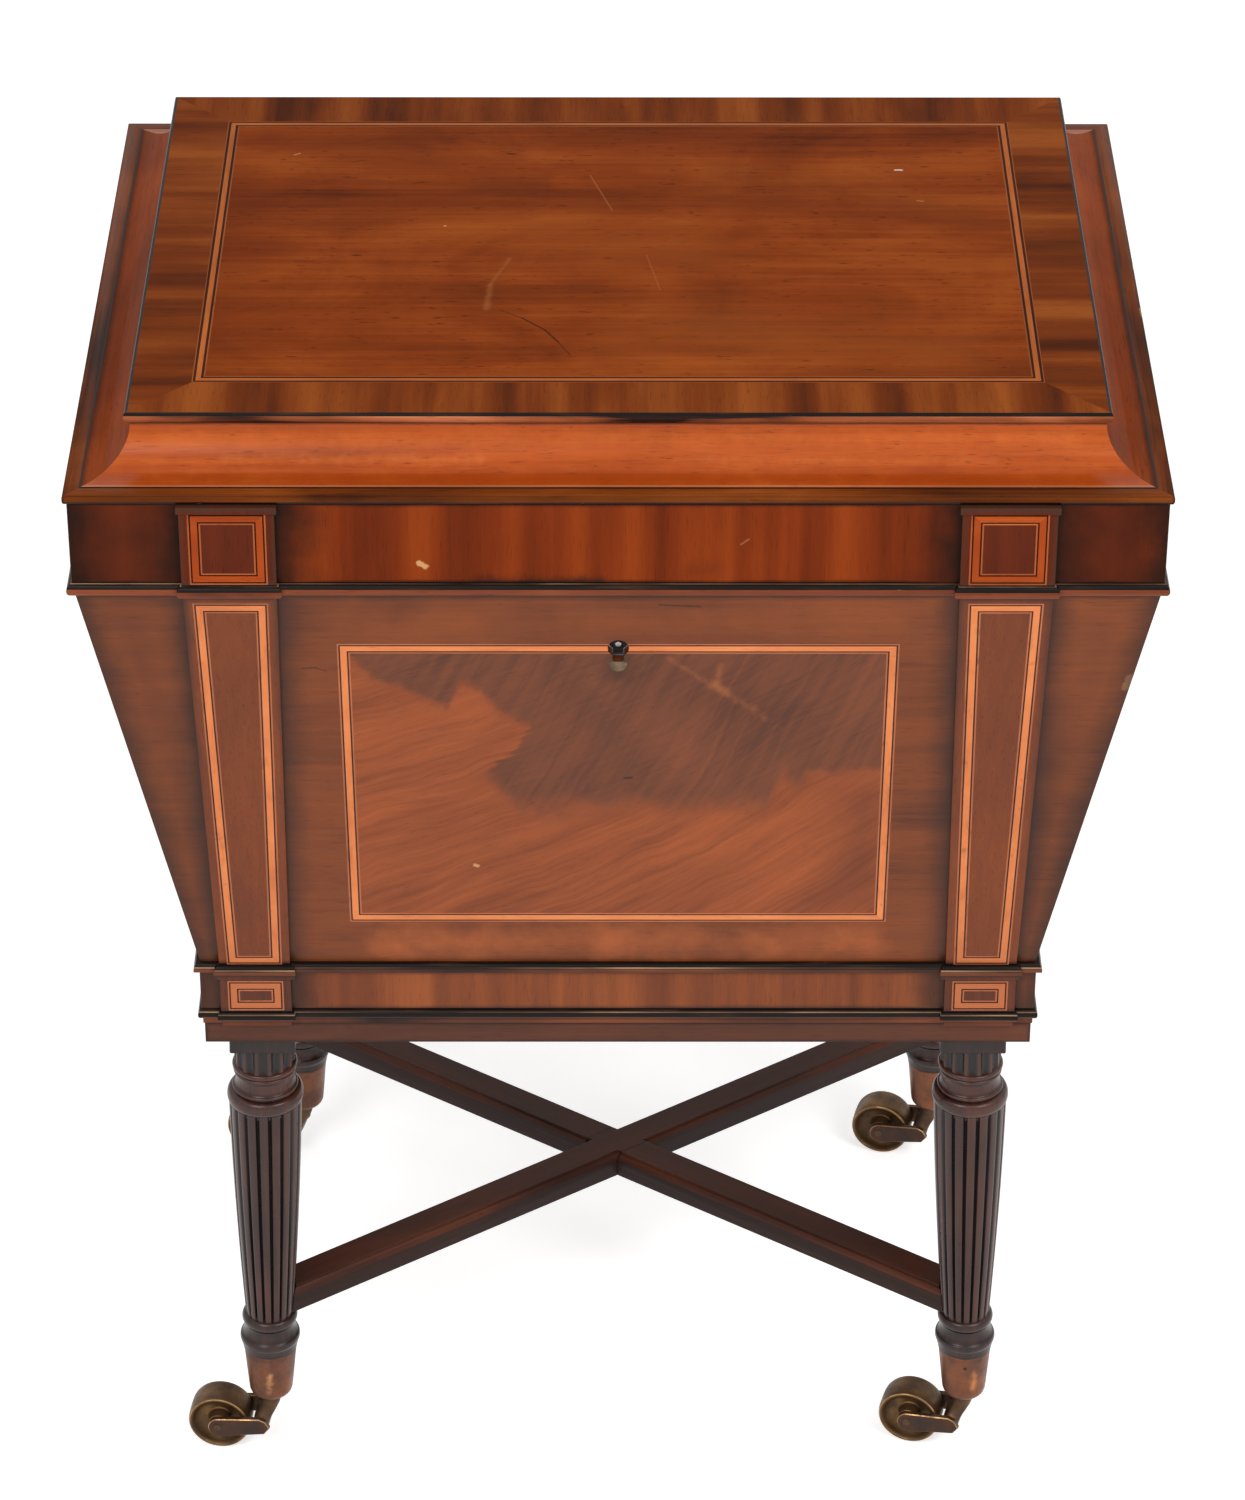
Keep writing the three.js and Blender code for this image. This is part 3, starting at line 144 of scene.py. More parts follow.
class Graph:
    """A node tree and the one way in which nodes are added to it."""

    def __init__(self, tree: bpy.types.NodeTree) -> None:
        """Takes an empty or new tree."""
        self.tree = tree

    def node(self, kind: str, settings: dict[str, Any] | None = None,
             values: dict[str, Any] | None = None) -> bpy.types.Node:
        """Adds a node.

        Args:
            kind: the node's type.
            settings: properties set before the sockets, and a colour ramp's "stops".
            values: a value or a link for each socket, by identifier.

        Returns:
            The new node.
        """
        made = self.tree.nodes.new(kind)
        for name, setting in (settings or {}).items():
            if name == "stops":
                self._set_stops(made, setting)
            else:
                setattr(made, name, setting)
        for name, value in (values or {}).items():
            socket = next(s for s in made.inputs if s.identifier == name)
            if isinstance(value, Value):
                self.tree.links.new(value.socket, socket)
            elif socket.type == "RGBA" and len(value) == 3:
                socket.default_value = (*value, 1)
            else:
                socket.default_value = value
        return made

    @staticmethod
    def _set_stops(ramp: bpy.types.Node, stops: Sequence[tuple[float, Colour]]) -> None:
        """Gives a colour ramp its stops.

        Args:
            ramp: the ramp's node.
            stops: a place and a colour for each stop.
        """
        elements = ramp.color_ramp.elements
        while len(elements) < len(stops):
            elements.new(1)
        for element, (place, colour) in zip(elements, stops):
            element.position = place
            element.color = (*colour, 1)

    def output(self, kind: str, name: str, settings: dict[str, Any] | None = None,
               values: dict[str, Any] | None = None) -> Value:
        """Adds a node as node() does and returns its output of the identifier given."""
        made = self.node(kind, settings, values)
        return Value(self, next(s for s in made.outputs if s.identifier == name))

    def maths(self, operation: str, *operands: Operand) -> Value:
        """The result of a Math node on one, two or three numbers."""
        names = ("Value", "Value_001", "Value_002")
        return self.output("ShaderNodeMath", "Value", {"operation": operation},
                           dict(zip(names, operands)))

    def separate(self, vector: Value) -> tuple[Value, Value, Value]:
        """The three numbers of a vector."""
        made = self.node("ShaderNodeSeparateXYZ", values={"Vector": vector})
        return tuple(Value(self, socket) for socket in made.outputs)

    def combine(self, x: Operand, y: Operand, z: Operand) -> Value:
        """A vector of three numbers."""
        return self.output("ShaderNodeCombineXYZ", "Vector", values={"X": x, "Y": y, "Z": z})

    def vectors(self, operation: str, first: Value | Point, second: Value | Point = (0, 0, 0),
                result: str = "Vector", scale: Operand = 1.0) -> Value:
        """The result of a Vector Math node on one or two vectors."""
        return self.output("ShaderNodeVectorMath", result, {"operation": operation}, {
            "Vector": first, "Vector_001": second, "Scale": scale})

    def times(self, vector: Value, scales: Point) -> Value:
        """A vector with each part times its scale."""
        return self.vectors("MULTIPLY", vector, scales)

    def from_line(self, place: Value, start: Point, end: Point) -> Value:
        """How far a place is from a short straight line.

        Args:
            place: the place.
            start: the line's first point.
            end: its last point.

        Returns:
            The distance.
        """
        way = Vector(end) - Vector(start)
        off = self.vectors("SUBTRACT", place, tuple(start))
        along = self.vectors("DOT_PRODUCT", off, tuple(way), "Value")
        share = along / max(way.length_squared, 1e-12)
        near = self.vectors("SCALE", tuple(way), scale=share.clamped())
        return self.vectors("LENGTH", self.vectors("SUBTRACT", off, near), result="Value")

    def noise(self, vector: Value, scales: Point, detail: float = 2.0, roughness: float = 0.5,
              distortion: float = 0.0) -> Value:
        """Noise from 0 to 1, about the middle.

        Args:
            vector: the place.
            scales: bumps in each metre, for each direction.
            detail: octaves added.
            roughness: how strong the octaves are.
            distortion: how far the noise swirls.

        Returns:
            The noise.
        """
        return self.output("ShaderNodeTexNoise", "Fac", {"noise_dimensions": "3D"}, {
            "Vector": self.times(vector, scales), "Scale": 1.0, "Detail": detail,
            "Roughness": roughness, "Distortion": distortion})

    def ease(self, value: Value, low: float, high: float) -> Value:
        """A smooth step from 0 at low to 1 at high; low may be the greater."""
        return self.output("ShaderNodeMapRange", "Result", {"interpolation_type": "SMOOTHSTEP"}, {
            "Value": value, "From Min": low, "From Max": high})

    def blend(self, share: Operand, first: Value | Colour, second: Value | Colour) -> Value:
        """A colour between two."""
        return self.output("ShaderNodeMix", "Result_Color", {"data_type": "RGBA"}, {
            "Factor_Float": share, "A_Color": first, "B_Color": second})

    def shade(self, share: Operand, first: Value | Colour, second: Value | Colour) -> Value:
        """The first colour multiplied by the second, as far as the share says."""
        return self.output("ShaderNodeMix", "Result_Color",
                           {"data_type": "RGBA", "blend_type": "MULTIPLY"},
                           {"Factor_Float": share, "A_Color": first, "B_Color": second})

    def heights(self, value: Value, points: Sequence[Flat]) -> Value:
        """A number read off a line through points, given from left to right, both in 0 to 1."""
        stops = [(place, (height, height, height)) for place, height in points]
        return self.output("ShaderNodeValToRGB", "Color", {"stops": stops}, {"Fac": value})

    def attribute(self, name: str) -> Value:
        """A mesh attribute as a vector."""
        return self.output("ShaderNodeAttribute", "Vector", {"attribute_name": name})

    def place(self) -> Value:
        """The place on the object, in metres."""
        return self.output("ShaderNodeTexCoord", "Object")

    def relief(self, height: Value, strength: float, depth: float) -> Value:
        """A normal bent by a height from 0 to 1, which stands for a depth in millimetres."""
        return self.output("ShaderNodeBump", "Normal", values={
            "Height": height, "Strength": strength, "Distance": depth * MM})

    def polished(self, colour: Value, roughness: Value, normal: Value,
                 others: dict[str, Operand]) -> Value:
        """The shader of a surface, with whatever else it is given by socket."""
        return self.output("ShaderNodeBsdfPrincipled", "BSDF", values={
            "Base Color": colour, "Roughness": roughness, "Normal": normal, **others})

    def looked_at(self) -> Value:
        """What parts the picture from the light.

        Returns:
            One for the camera, for polished surfaces and through glass, and nought otherwise.
        """
        path = self.node("ShaderNodeLightPath")
        camera, glossy, through = [Value(self, path.outputs[name]) for name in (
            "Is Camera Ray", "Is Glossy Ray", "Is Transmission Ray")]
        return camera.most(glossy).most(through)


# Finishes


class Finish:
    """A material that is made once and shared."""

    made: dict[str, bpy.types.Material] = {}
    name: str

    def material(self) -> bpy.types.Material:
        """Makes the finish's material at its first use.

        Returns:
            The material.
        """
        if self.name not in Finish.made:
            fresh = bpy.data.materials.new(self.name)
            fresh.use_nodes = True
            fresh.node_tree.nodes.clear()
            graph = Graph(fresh.node_tree)
            graph.node("ShaderNodeOutputMaterial", values={"Surface": self.surface(graph)})
            Finish.made[self.name] = fresh
        return Finish.made[self.name]

    def surface(self, graph: Graph) -> Value:
        """Builds the shader in a tree and returns its output."""
        raise NotImplementedError


class Figure(Enum):
    """The large pattern of a veneer."""

    PLAIN = "plain"
    FADED = "faded"
    CROSS = "cross"
    BANDED = "banded"


@dataclass(frozen=True)
class Mark:
    """A stain, scratch, worn patch, chip, painted shade or painted highlight along a short line on
    the object, in millimetres.

    The share is how strongly it covers. The core is the part of its width that it covers in full,
    none where it is under nought, and the rough is how far its edge is broken up; both are shares
    of the width.
    """

    start: Point
    end: Point
    width: float
    colour: Colour
    share: float = 1.0
    core: float = 0.45
    rough: float = 1.3

    def onto(self, graph: Graph, colour: Value) -> Value:
        """Lays the mark, its edge broken up, over a colour.

        Args:
            graph: the material's tree.
            colour: the colour under the mark.

        Returns:
            The colour with the mark.
        """
        start, end = [tuple(part * MM for part in point) for point in (self.start, self.end)]
        width = self.width * MM
        size = 0.9 / width
        ragged = graph.noise(graph.place(), (size, size, size), 4.0, 0.6) - 0.5
        far = graph.from_line(graph.place(), start, end) + ragged * (self.rough * width)
        share = graph.ease(far, width, width * self.core) * self.share
        return graph.blend(share, colour, self.colour)


def marked(graph: Graph, colour: Value, marks: Iterable[Mark]) -> Value:
    """A colour with marks laid over it, one after another."""
    return reduce(lambda under, mark: mark.onto(graph, under), marks, colour)


def level_marks(z: float, *rows: tuple) -> tuple[Mark, ...]:
    """Marks on a level face, each with the X and Y of both its ends before its other values."""
    return tuple(Mark((*row[:2], z), (*row[2:4], z), *row[4:]) for row in rows)


@dataclass(frozen=True)
class Timber(Finish):
    """A polished wood that lies by the mesh's wood attribute, its grain along the first axis.

    The grime is old dark polish near the board's ends and its rims, each with a width in
    millimetres. Cloud, streak, pores and flecks say how strong each part of the figure is.
    """

    name: str
    light: Colour
    mid: Colour
    dark: Colour
    grime: Colour = (0.012, 0.006, 0.004)
    grime_ends: float = 3.0
    grime_rims: float = 3.0
    grime_share: float = 0.0
    figure: Figure = Figure.PLAIN
    cloud: float = 0.5
    streak: float = 0.5
    pores: float = 0.5
    roughness: float = 0.33
    shine: float = 0.2
    flecks: float = 0.3
    marks: tuple[Mark, ...] = ()

    def surface(self, graph: Graph) -> Value:
        """Builds the wood's shader.

        Args:
            graph: the material's tree.

        Returns:
            The shader's output.
        """
        place = graph.attribute("wood")
        cloud = graph.noise(place, (7, 22, 22), 3.0, 0.55, 0.6)
        streak = graph.noise(place, (5, 260, 260), 4.0, 0.6)
        fine = graph.noise(place, (70, 1500, 1500), 2.0, 0.6)
        short = graph.noise(place, (110, 620, 620), 2.0, 0.5)
        tone = (cloud - 0.5) * (2.4 * self.cloud) + (streak - 0.5) * (1.6 * self.streak) + 0.5
        tone = tone + self.figured(graph, place)
        colour = graph.blend((tone * 2.0 - 1.0).clamped(), self.mid, self.light)
        colour = graph.blend((1.0 - tone * 2.0).clamped(), colour, self.dark)
        pore, fleck = graph.ease(fine, 0.56, 0.72), graph.ease(short, 0.64, 0.76)
        colour = graph.shade(pore * self.pores, colour, (0.42, 0.34, 0.3))
        colour = graph.shade(fleck * self.flecks, colour, (0.25, 0.18, 0.15))
        colour = marked(graph, colour, self.marks)
        if self.grime_share:
            colour = graph.blend(self.grimed(graph, place), colour, self.grime)
        sheen = (cloud - 0.5) * 0.16 + fine * 0.08 + (self.roughness - 0.04)
        return graph.polished(colour, sheen, graph.relief(fine * 0.6 + streak * 0.4, 0.35, 0.12),
                              {"Specular IOR Level": self.shine})

    def figured(self, graph: Graph, place: Value) -> Operand:
        """Draws the veneer's large pattern.

        Args:
            graph: the material's tree.
            place: the place in the wood.

        Returns:
            What the pattern adds to the wood's tone.
        """
        if self.figure is Figure.CROSS:
            return (graph.noise(place, (40, 420, 420), 3.0, 0.6) - 0.5) * 0.9
        if self.figure is Figure.FADED:
            bands = graph.noise(place, (3.2, 24, 24), 3.0, 0.55, 0.4)
            smudges = graph.noise(place, (9, 13, 13), 4.0, 0.6, 1.0)
            return (bands - 0.5) * 1.5 + (smudges - 0.5) * 1.1
        if self.figure is Figure.BANDED:
            return (graph.noise(place, (1.5, 34, 34), 2.0, 0.55, 0.2) - 0.5) * 2.6
        return 0.0

    def grimed(self, graph: Graph, place: Value) -> Value:
        """Spreads the old dark polish, most of it along the board's edges.

        Args:
            graph: the material's tree.
            place: the place in the wood.

        Returns:
            How much of the polish lies there, from 0 to 1.
        """
        left, foot, _ = graph.separate(graph.attribute("rim_low"))
        right, head, _ = graph.separate(graph.attribute("rim_high"))
        wobble = graph.noise(place, (40, 40, 40), 3.0, 0.6) - 0.5
        shares = []
        for near, width in ((left.least(right), self.grime_ends),
                            (foot.least(head), self.grime_rims)):
            reach = width * MM
            shares.append(graph.ease(near + wobble * (0.7 * reach), reach, -0.15 * reach))
        return shares[0].most(shares[1]) * self.grime_share


@dataclass(frozen=True)
class FlameVeneer(Finish):
    """The front panel's flame figure: a dark cloud with a ragged edge over feathered light wood.

    The cloud's edge is two lines on the panel, as points across and up it, in millimetres; the
    second goes under a tongue of light wood whose foot is the third line.
    """

    name: str = "flame mahogany"
    light: Colour = (0.41, 0.096, 0.024)
    mid: Colour = (0.2, 0.044, 0.012)
    cloud_light: Colour = (0.22, 0.062, 0.023)
    cloud_dark: Colour = (0.09, 0.029, 0.015)
    rise: float = 33.0
    curl: float = 32.0
    half_width: float = 145.0
    foot: float = 385.0
    height: float = 215.0
    upper: tuple[Flat, ...] = ((-139, 573), (-89, 541), (-81, 559), (-45, 528), (-30, 500),
                               (139, 500))
    lower: tuple[Flat, ...] = ((-139, 560), (-84, 530), (-70, 499), (-53, 471), (44, 471),
                               (79, 474), (86, 497), (95, 490), (108, 511), (139, 508))
    tongue: tuple[Flat, ...] = ((-139, 499), (-70, 499), (-45, 528), (-40, 600), (139, 600))

    def line(self, graph: Graph, across: Value, points: Sequence[Flat]) -> Value:
        """Draws one of the cloud's lines.

        Args:
            graph: the material's tree.
            across: the place across the panel, in millimetres.
            points: the line's points, from left to right.

        Returns:
            The line's height at that place, in millimetres.
        """
        width = self.half_width * 2
        stops = [((x + self.half_width) / width, (z - self.foot) / self.height) for x, z in points]
        share = (across + self.half_width) / width
        return graph.heights(share, stops) * self.height + self.foot

    @staticmethod
    def slanted(graph: Graph, x: Value, z: Value, rise: float) -> Value:
        """A place on the panel, measured along wood that rises at an angle and across it."""
        turn = math.radians(rise)
        return graph.combine((x * math.cos(turn) + z * math.sin(turn)) * MM,
                             (z * math.cos(turn) - x * math.sin(turn)) * MM, 0.0)

    def surface(self, graph: Graph) -> Value:
        """Builds the veneer's shader.

        Args:
            graph: the material's tree.

        Returns:
            The shader's output.
        """
        place = graph.place()
        x, _, z = graph.separate(graph.times(place, (1 / MM, 1 / MM, 1 / MM)))
        swirl = graph.noise(place, (14, 14, 14), 2.0, 0.5)
        ragged = graph.noise(place, (34, 34, 34), 5.0, 0.62)
        bent = z + (swirl - 0.5) * 30.0 - (x * x) * 0.0011
        lie = self.slanted(graph, x, bent, self.rise)
        feather = graph.noise(lie, (8, 48, 1), 3.0, 0.6, 0.3)
        streak = graph.noise(lie, (10, 330, 1), 4.0, 0.65)
        fine = graph.noise(lie, (120, 1300, 1), 2.0, 0.6)
        curled = self.slanted(graph, x, bent, self.rise + self.curl)
        wave = graph.noise(curled, (7, 190, 1), 3.0, 0.55, 0.2)
        low = graph.ease(z, 470.0, 400.0) * 0.1
        tone = (feather - 0.5) * 1.7 + (streak - 0.5) * 1.3 + (swirl - 0.5) * 0.5 + 0.5 - low
        lit = graph.blend(tone.clamped(), self.mid, self.light)
        shade = (swirl - 0.5) * 1.4 + (streak - 0.5) * 0.8 + (wave - 0.5) * 1.3 + 0.4
        dark = graph.blend(shade.clamped(), self.cloud_dark, self.cloud_light)
        shaken = z + (ragged - 0.5) * 30.0 + (streak - 0.5) * 16.0 + (feather - 0.5) * 14.0
        over, under, clear = [graph.ease(shaken - self.line(graph, x, points), start, end)
                              for points, start, end in ((self.upper, -3.0, 6.0),
                                                         (self.lower, -10.0, 14.0),
                                                         (self.tongue, 3.0, -3.0))]
        colour = graph.blend(over.most(under * clear) * 0.94, lit, dark)
        colour = graph.shade(graph.ease(fine, 0.58, 0.74) * 0.5, colour, (0.4, 0.32, 0.3))
        return graph.polished(marked(graph, colour, PANEL_MARKS), fine * 0.1 + 0.28,
                              graph.relief(fine * 0.6 + streak * 0.4, 0.3, 0.1),
                              {"Specular IOR Level": 0.2})


@dataclass(frozen=True)
class TurnedTimber(Finish):
    """The dark polished mahogany of the legs: dark in the hollows, redder on the crowns, with a
    painted highlight on the flute ends.
    """

    name: str = "leg mahogany"
    crown: Colour = (0.105, 0.032, 0.018)
    mid: Colour = (0.032, 0.013, 0.01)
    hollow: Colour = (0.008, 0.005, 0.005)
    # The colour of the painted highlight on the flute ends
    rubbed: Colour = (0.2, 0.075, 0.02)

    def surface(self, graph: Graph) -> Value:
        """Builds the wood's shader.

        Args:
            graph: the material's tree.

        Returns:
            The shader's output.
        """
        place = graph.place()
        streak = graph.noise(place, (300, 300, 9), 4.0, 0.6)
        cloud = graph.noise(place, (35, 35, 20), 3.0, 0.6)
        depth, lit, _ = graph.separate(graph.attribute("carving"))
        tone = (streak - 0.5) * 0.7 + (cloud - 0.5) * 0.8 + 0.55 - depth * 0.9
        colour = graph.blend(graph.ease(tone, 0.3, 1.0), self.mid, self.crown)
        colour = graph.blend(graph.ease(tone, 0.45, 0.0), colour, self.hollow)
        # The rubbed colour, laid where the carving's second number is set, is a painted highlight
        # on the flute ends
        colour = graph.blend(lit * graph.ease(cloud, 0.35, 0.65), colour, self.rubbed)
        return graph.polished(marked(graph, colour, LEG_MARKS), cloud * 0.2 + 0.18,
                              graph.relief(streak, 0.2, 0.15), {"Specular IOR Level": 0.35})


@dataclass(frozen=True)
class Ebonised(Finish):
    """Black-stained moulding, rubbed grey and brown where hands and cloths have passed."""

    name: str = "ebonised wood"
    black: Colour = (0.009, 0.006, 0.005)
    worn: Colour = (0.07, 0.03, 0.016)
    chipped: Colour = (0.34, 0.2, 0.11)

    def surface(self, graph: Graph) -> Value:
        """Builds the wood's shader.

        Args:
            graph: the material's tree.

        Returns:
            The shader's output.
        """
        place = graph.attribute("wood")
        rub = graph.noise(place, (16, 240, 240), 4.0, 0.65)
        chip = graph.noise(place, (130, 500, 500), 3.0, 0.6)
        colour = graph.blend(graph.ease(rub, 0.5, 0.78) * 0.75, self.black, self.worn)
        colour = graph.blend(graph.ease(chip, 0.72, 0.78), colour, self.chipped)
        return graph.polished(colour, rub * 0.4 + 0.12, graph.relief(rub, 0.3, 0.2),
                              {"Specular IOR Level": 0.1})


@dataclass(frozen=True)
class Metal(Finish):
    """Old metal: its own colour where it is rubbed, and a dull film where it isn't."""

    name: str
    bright: Colour
    film: Colour
    film_share: float = 0.6
    roughness: float = 0.4
    grain: float = 90.0
    marks: tuple[Mark, ...] = ()
    cut: Colour = (0.008, 0.006, 0.005)

    def surface(self, graph: Graph) -> Value:
        """Builds the metal's shader.

        Args:
            graph: the material's tree.

        Returns:
            The shader's output.
        """
        place = graph.place()
        coarse, small = self.grain, self.grain * 9
        patch = graph.noise(place, (coarse, coarse, coarse), 4.0, 0.62)
        pit = graph.noise(place, (small, small, small), 2.0, 0.6)
        low = 0.78 - 0.5 * self.film_share
        film = graph.ease(patch + (pit - 0.5) * 0.2, low - 0.3, low + 0.3)
        colour = marked(graph, graph.blend(film, self.bright, self.film), self.marks)
        depth, _, _ = graph.separate(graph.attribute("carving"))
        roughness = film * 0.25 + (self.roughness - 0.1) + pit * 0.12
        return graph.polished(graph.blend(depth, colour, self.cut), roughness,
                              graph.relief(patch * 0.6 + pit * 0.4, 0.3, 0.12),
                              {"Metallic": 1.0 - film * 0.55})


@dataclass(frozen=True)
class Paper(Finish):
    """The plain pale floor, which turns white for the camera away from the object's shadow."""

    name: str = "pale floor"
    lift: float = 0.57

    def surface(self, graph: Graph) -> Value:
        """Builds the floor's shader.

        Args:
            graph: the material's tree.

        Returns:
            The shader's output.
        """
        grain = graph.noise(graph.place(), (60, 60, 60), 2.0)
        paper = graph.output("ShaderNodeBsdfDiffuse", "BSDF", values={
            "Color": graph.blend(grain, (0.84, 0.84, 0.84), (0.88, 0.88, 0.88))})
        glow = graph.output("ShaderNodeEmission", "Emission", values={
            "Color": WHITE, "Strength": graph.looked_at() * self.lift})
        both = graph.node("ShaderNodeAddShader")
        graph.tree.links.new(paper.socket, both.inputs[0])
        graph.tree.links.new(glow.socket, both.inputs[1])
        return Value(graph, both.outputs[0])


# Marks that the photo shows, by the piece that they lie on

SCRATCH = (0.03, 0.012, 0.006)
SCUFF = (0.42, 0.15, 0.05)
BARE = (0.62, 0.33, 0.14)
TOP_MARKS = level_marks(
    712,
    (20, -95, 170, -120, 62, (0.33, 0.08, 0.013), 0.5, -0.4),
    (-60, 20, 40, -10, 48, (0.31, 0.07, 0.011), 0.4, -0.4),
    (-215, 60, -215, -110, 60, (0.15, 0.024, 0.003), 0.6, -0.4),
    (60, 80, 190, 40, 42, (0.15, 0.028, 0.004), 0.6, -0.4),
    (-150, 30, -60, 70, 30, (0.15, 0.026, 0.004), 0.5, -0.4),
    (-61.8, -72.8, -50.1, -81.7, 0.6, SCRATCH, 0.5),
    (-50.1, -81.7, -38, -94.9, 0.8, SCRATCH, 0.8),
    (-38, -94.9, -31.1, -108, 0.8, SCRATCH, 0.8),
    (-31.1, -108, -24.8, -122.1, 0.6, SCRATCH, 0.6),
    (-68.8, -71.7, -67.5, -44.7, 3.0, SCUFF, 0.3, 0.0),
    (-67.5, -44.7, -57.5, -13.9, 1.8, SCUFF, 0.25, 0.0),
    (-15.4, 84.9, -3.3, 42.6, 0.6, SCUFF, 0.4),
    (15, -10, 22, -50, 0.5, SCUFF, 0.3),
    (152, 91.2, 155.5, 91.2, 1.0, (0.8, 0.7, 0.6), 0.8),
    (162, 53.8, 165.5, 53.4, 0.6, BARE, 0.5),
    (-93.4, 23.5, -92.8, 23.5, 0.9, BARE, 0.8),
    (-178.5, 109.5, -175.5, 111.5, 0.7, BARE, 0.6))
BODY_MARKS = (
    Mark((-120, -175, 373), (130, -175, 373), 23, (0.5, 0.125, 0.032), 0.95, -0.3),
    Mark((-250, -205, 600), (-215, -175, 400), 24, (0.1, 0.024, 0.008), 0.55, -0.5),
    Mark((250, -205, 600), (215, -175, 400), 20, (0.12, 0.028, 0.009), 0.4, -0.5),
    Mark((-140, -205, 604), (140, -205, 604), 20, (0.3, 0.07, 0.014), 0.6, -0.5),
    Mark((21, -209.5, 614.6), (42, -209.2, 613.5), 0.8, SCRATCH, 0.85, 0.1),
    Mark((-163, -201.6, 571.5), (-156, -201.6, 571.8), 0.9, SCRATCH, 0.8, 0.1),
    Mark((-156, -201.6, 571.8), (-150.5, -201.2, 569.5), 0.8, SCRATCH, 0.8, 0.1),
    Mark((236, -204.9, 604), (231, -203, 585), 0.8, SCRATCH, 0.85),
    Mark((-246, -204.9, 600), (-243, -203, 588), 0.7, SCRATCH, 0.8),
    Mark((264.6, -199.8, 566), (262.5, -199.8, 558), 2.6, (0.42, 0.2, 0.09), 0.9),
    Mark((0, -205, 582), (0, -204, 571), 14, (0.05, 0.02, 0.01), 0.8, -0.4))
PANEL_MARKS = (
    Mark((26, -204, 578), (56, -200, 553), 3.2, (0.46, 0.14, 0.045), 0.6, -0.4),
    Mark((130, -185, 480), (130, -175, 410), 40, (0.15, 0.034, 0.011), 0.88, -0.6),
    Mark((50, -200, 560), (84, -198, 530), 5.0, (0.46, 0.14, 0.045), 0.7, -0.5),
    Mark((53, -201, 574), (51, -199, 560), 3.0, (0.46, 0.14, 0.045), 0.45, -0.5),
    Mark((-20, -190, 560), (20, -190, 480), 22, (0.08, 0.028, 0.013), 0.4, -0.6),
    Mark((-76.4, -175.1, 431.6), (-75, -175, 431), 1.5, BARE, 0.85),
    Mark((3.6, -186.9, 494.8), (7, -187, 495), 1.0, SCRATCH, 0.8),
    Mark((0, -204, 580), (0, -202, 568), 15, (0.035, 0.016, 0.01), 0.9, -0.4))
# Painted light on the cove's front: a painted shade along its lower part, a brighter painted band
# of light on its upper part, and two pale painted highlights across its middle
COVE_PAINTED_LIGHT = (
    Mark((-262, -199, 683.5), (262, -199, 683.5), 14, (0.3, 0.042, 0.004), 0.85, -0.2),
    Mark((-230, -184, 697), (230, -184, 697), 7, (0.7, 0.17, 0.034), 0.5, -0.5),
    Mark((-200, -190, 690), (-70, -190, 690), 5, (0.8, 0.28, 0.085), 0.45, -0.6),
    Mark((30, -190, 689), (190, -190, 689), 4, (0.75, 0.24, 0.07), 0.3, -0.6))
LEDGE_MARKS = level_marks(
    680.5,
    (280, -20, 280, -12, 1.7, BARE, 0.9),
    (280, 34, 280, 38, 1.0, BARE, 0.7),
    (-280, -94, -280, -90, 0.9, BARE, 0.7))
LEG_MARKS = (
    Mark((-187, -158.5, 174), (-187, -157.8, 167), 1.6, (0.34, 0.085, 0.016), 0.9, 0.1),
    Mark((-190.5, -159, 212), (-190.5, -159, 206), 0.9, (0.2, 0.07, 0.03), 0.7))
# The cups' marks: the two bright streaks down their fronts are painted highlights; the others are
# dark marks
CUP_HIGHLIGHTS_AND_MARKS = (
    Mark((-200.5, -152, 60), (-202, -149, 47), 3.2, (0.66, 0.32, 0.13), 0.85, -0.3),
    Mark((206.4, -152, 62), (205.5, -150, 50), 3.4, (0.6, 0.23, 0.08), 0.75, -0.4),
    Mark((200.3, -152.5, 66.2), (200.4, -152.5, 65.8), 1.5, (0.015, 0.01, 0.008), 0.95, 0.3, 0.4),
    Mark((-215, -150, 71), (-188, -150, 71), 3.5, (0.05, 0.02, 0.012), 0.7, -0.3),
    Mark((187, -150, 71), (216, -150, 71), 3.0, (0.05, 0.02, 0.012), 0.6, -0.3))
SATIN_MARKS = tuple(Mark((x, -165, z), (x + 25, -165, z), *rest) for z, *rest in (
    (339, 16, (0.42, 0.12, 0.045), 0.7, 0.5), (355, 60, (0.5, 0.14, 0.05), 0.5, 0.0))
                    for x in (-210, 185))
FRIEZE_MARKS = (
    Mark((-248, -212, 640), (-248, -212, 665), 46, (0.1, 0.018, 0.006), 0.9, 0.0),
    Mark((248, -212, 640), (248, -212, 665), 42, (0.095, 0.016, 0.005), 0.8, 0.0),
    Mark((-101, -212, 641), (-98, -212, 639), 2.1, BARE, 0.95),
    Mark((62, -212, 652), (66, -212, 655), 0.7, BARE, 0.2),
    Mark((36, -212, 636), (46, -212, 637), 13, (0.12, 0.02, 0.004), 0.5, -0.5),
    Mark((-70, -212, 629), (-10, -212, 629), 7, (0.02, 0.01, 0.006), 0.9, -0.3))

# The finishes: for wood the light, middle and dark tones of its figure, for metal its bright
# and its filmed colour

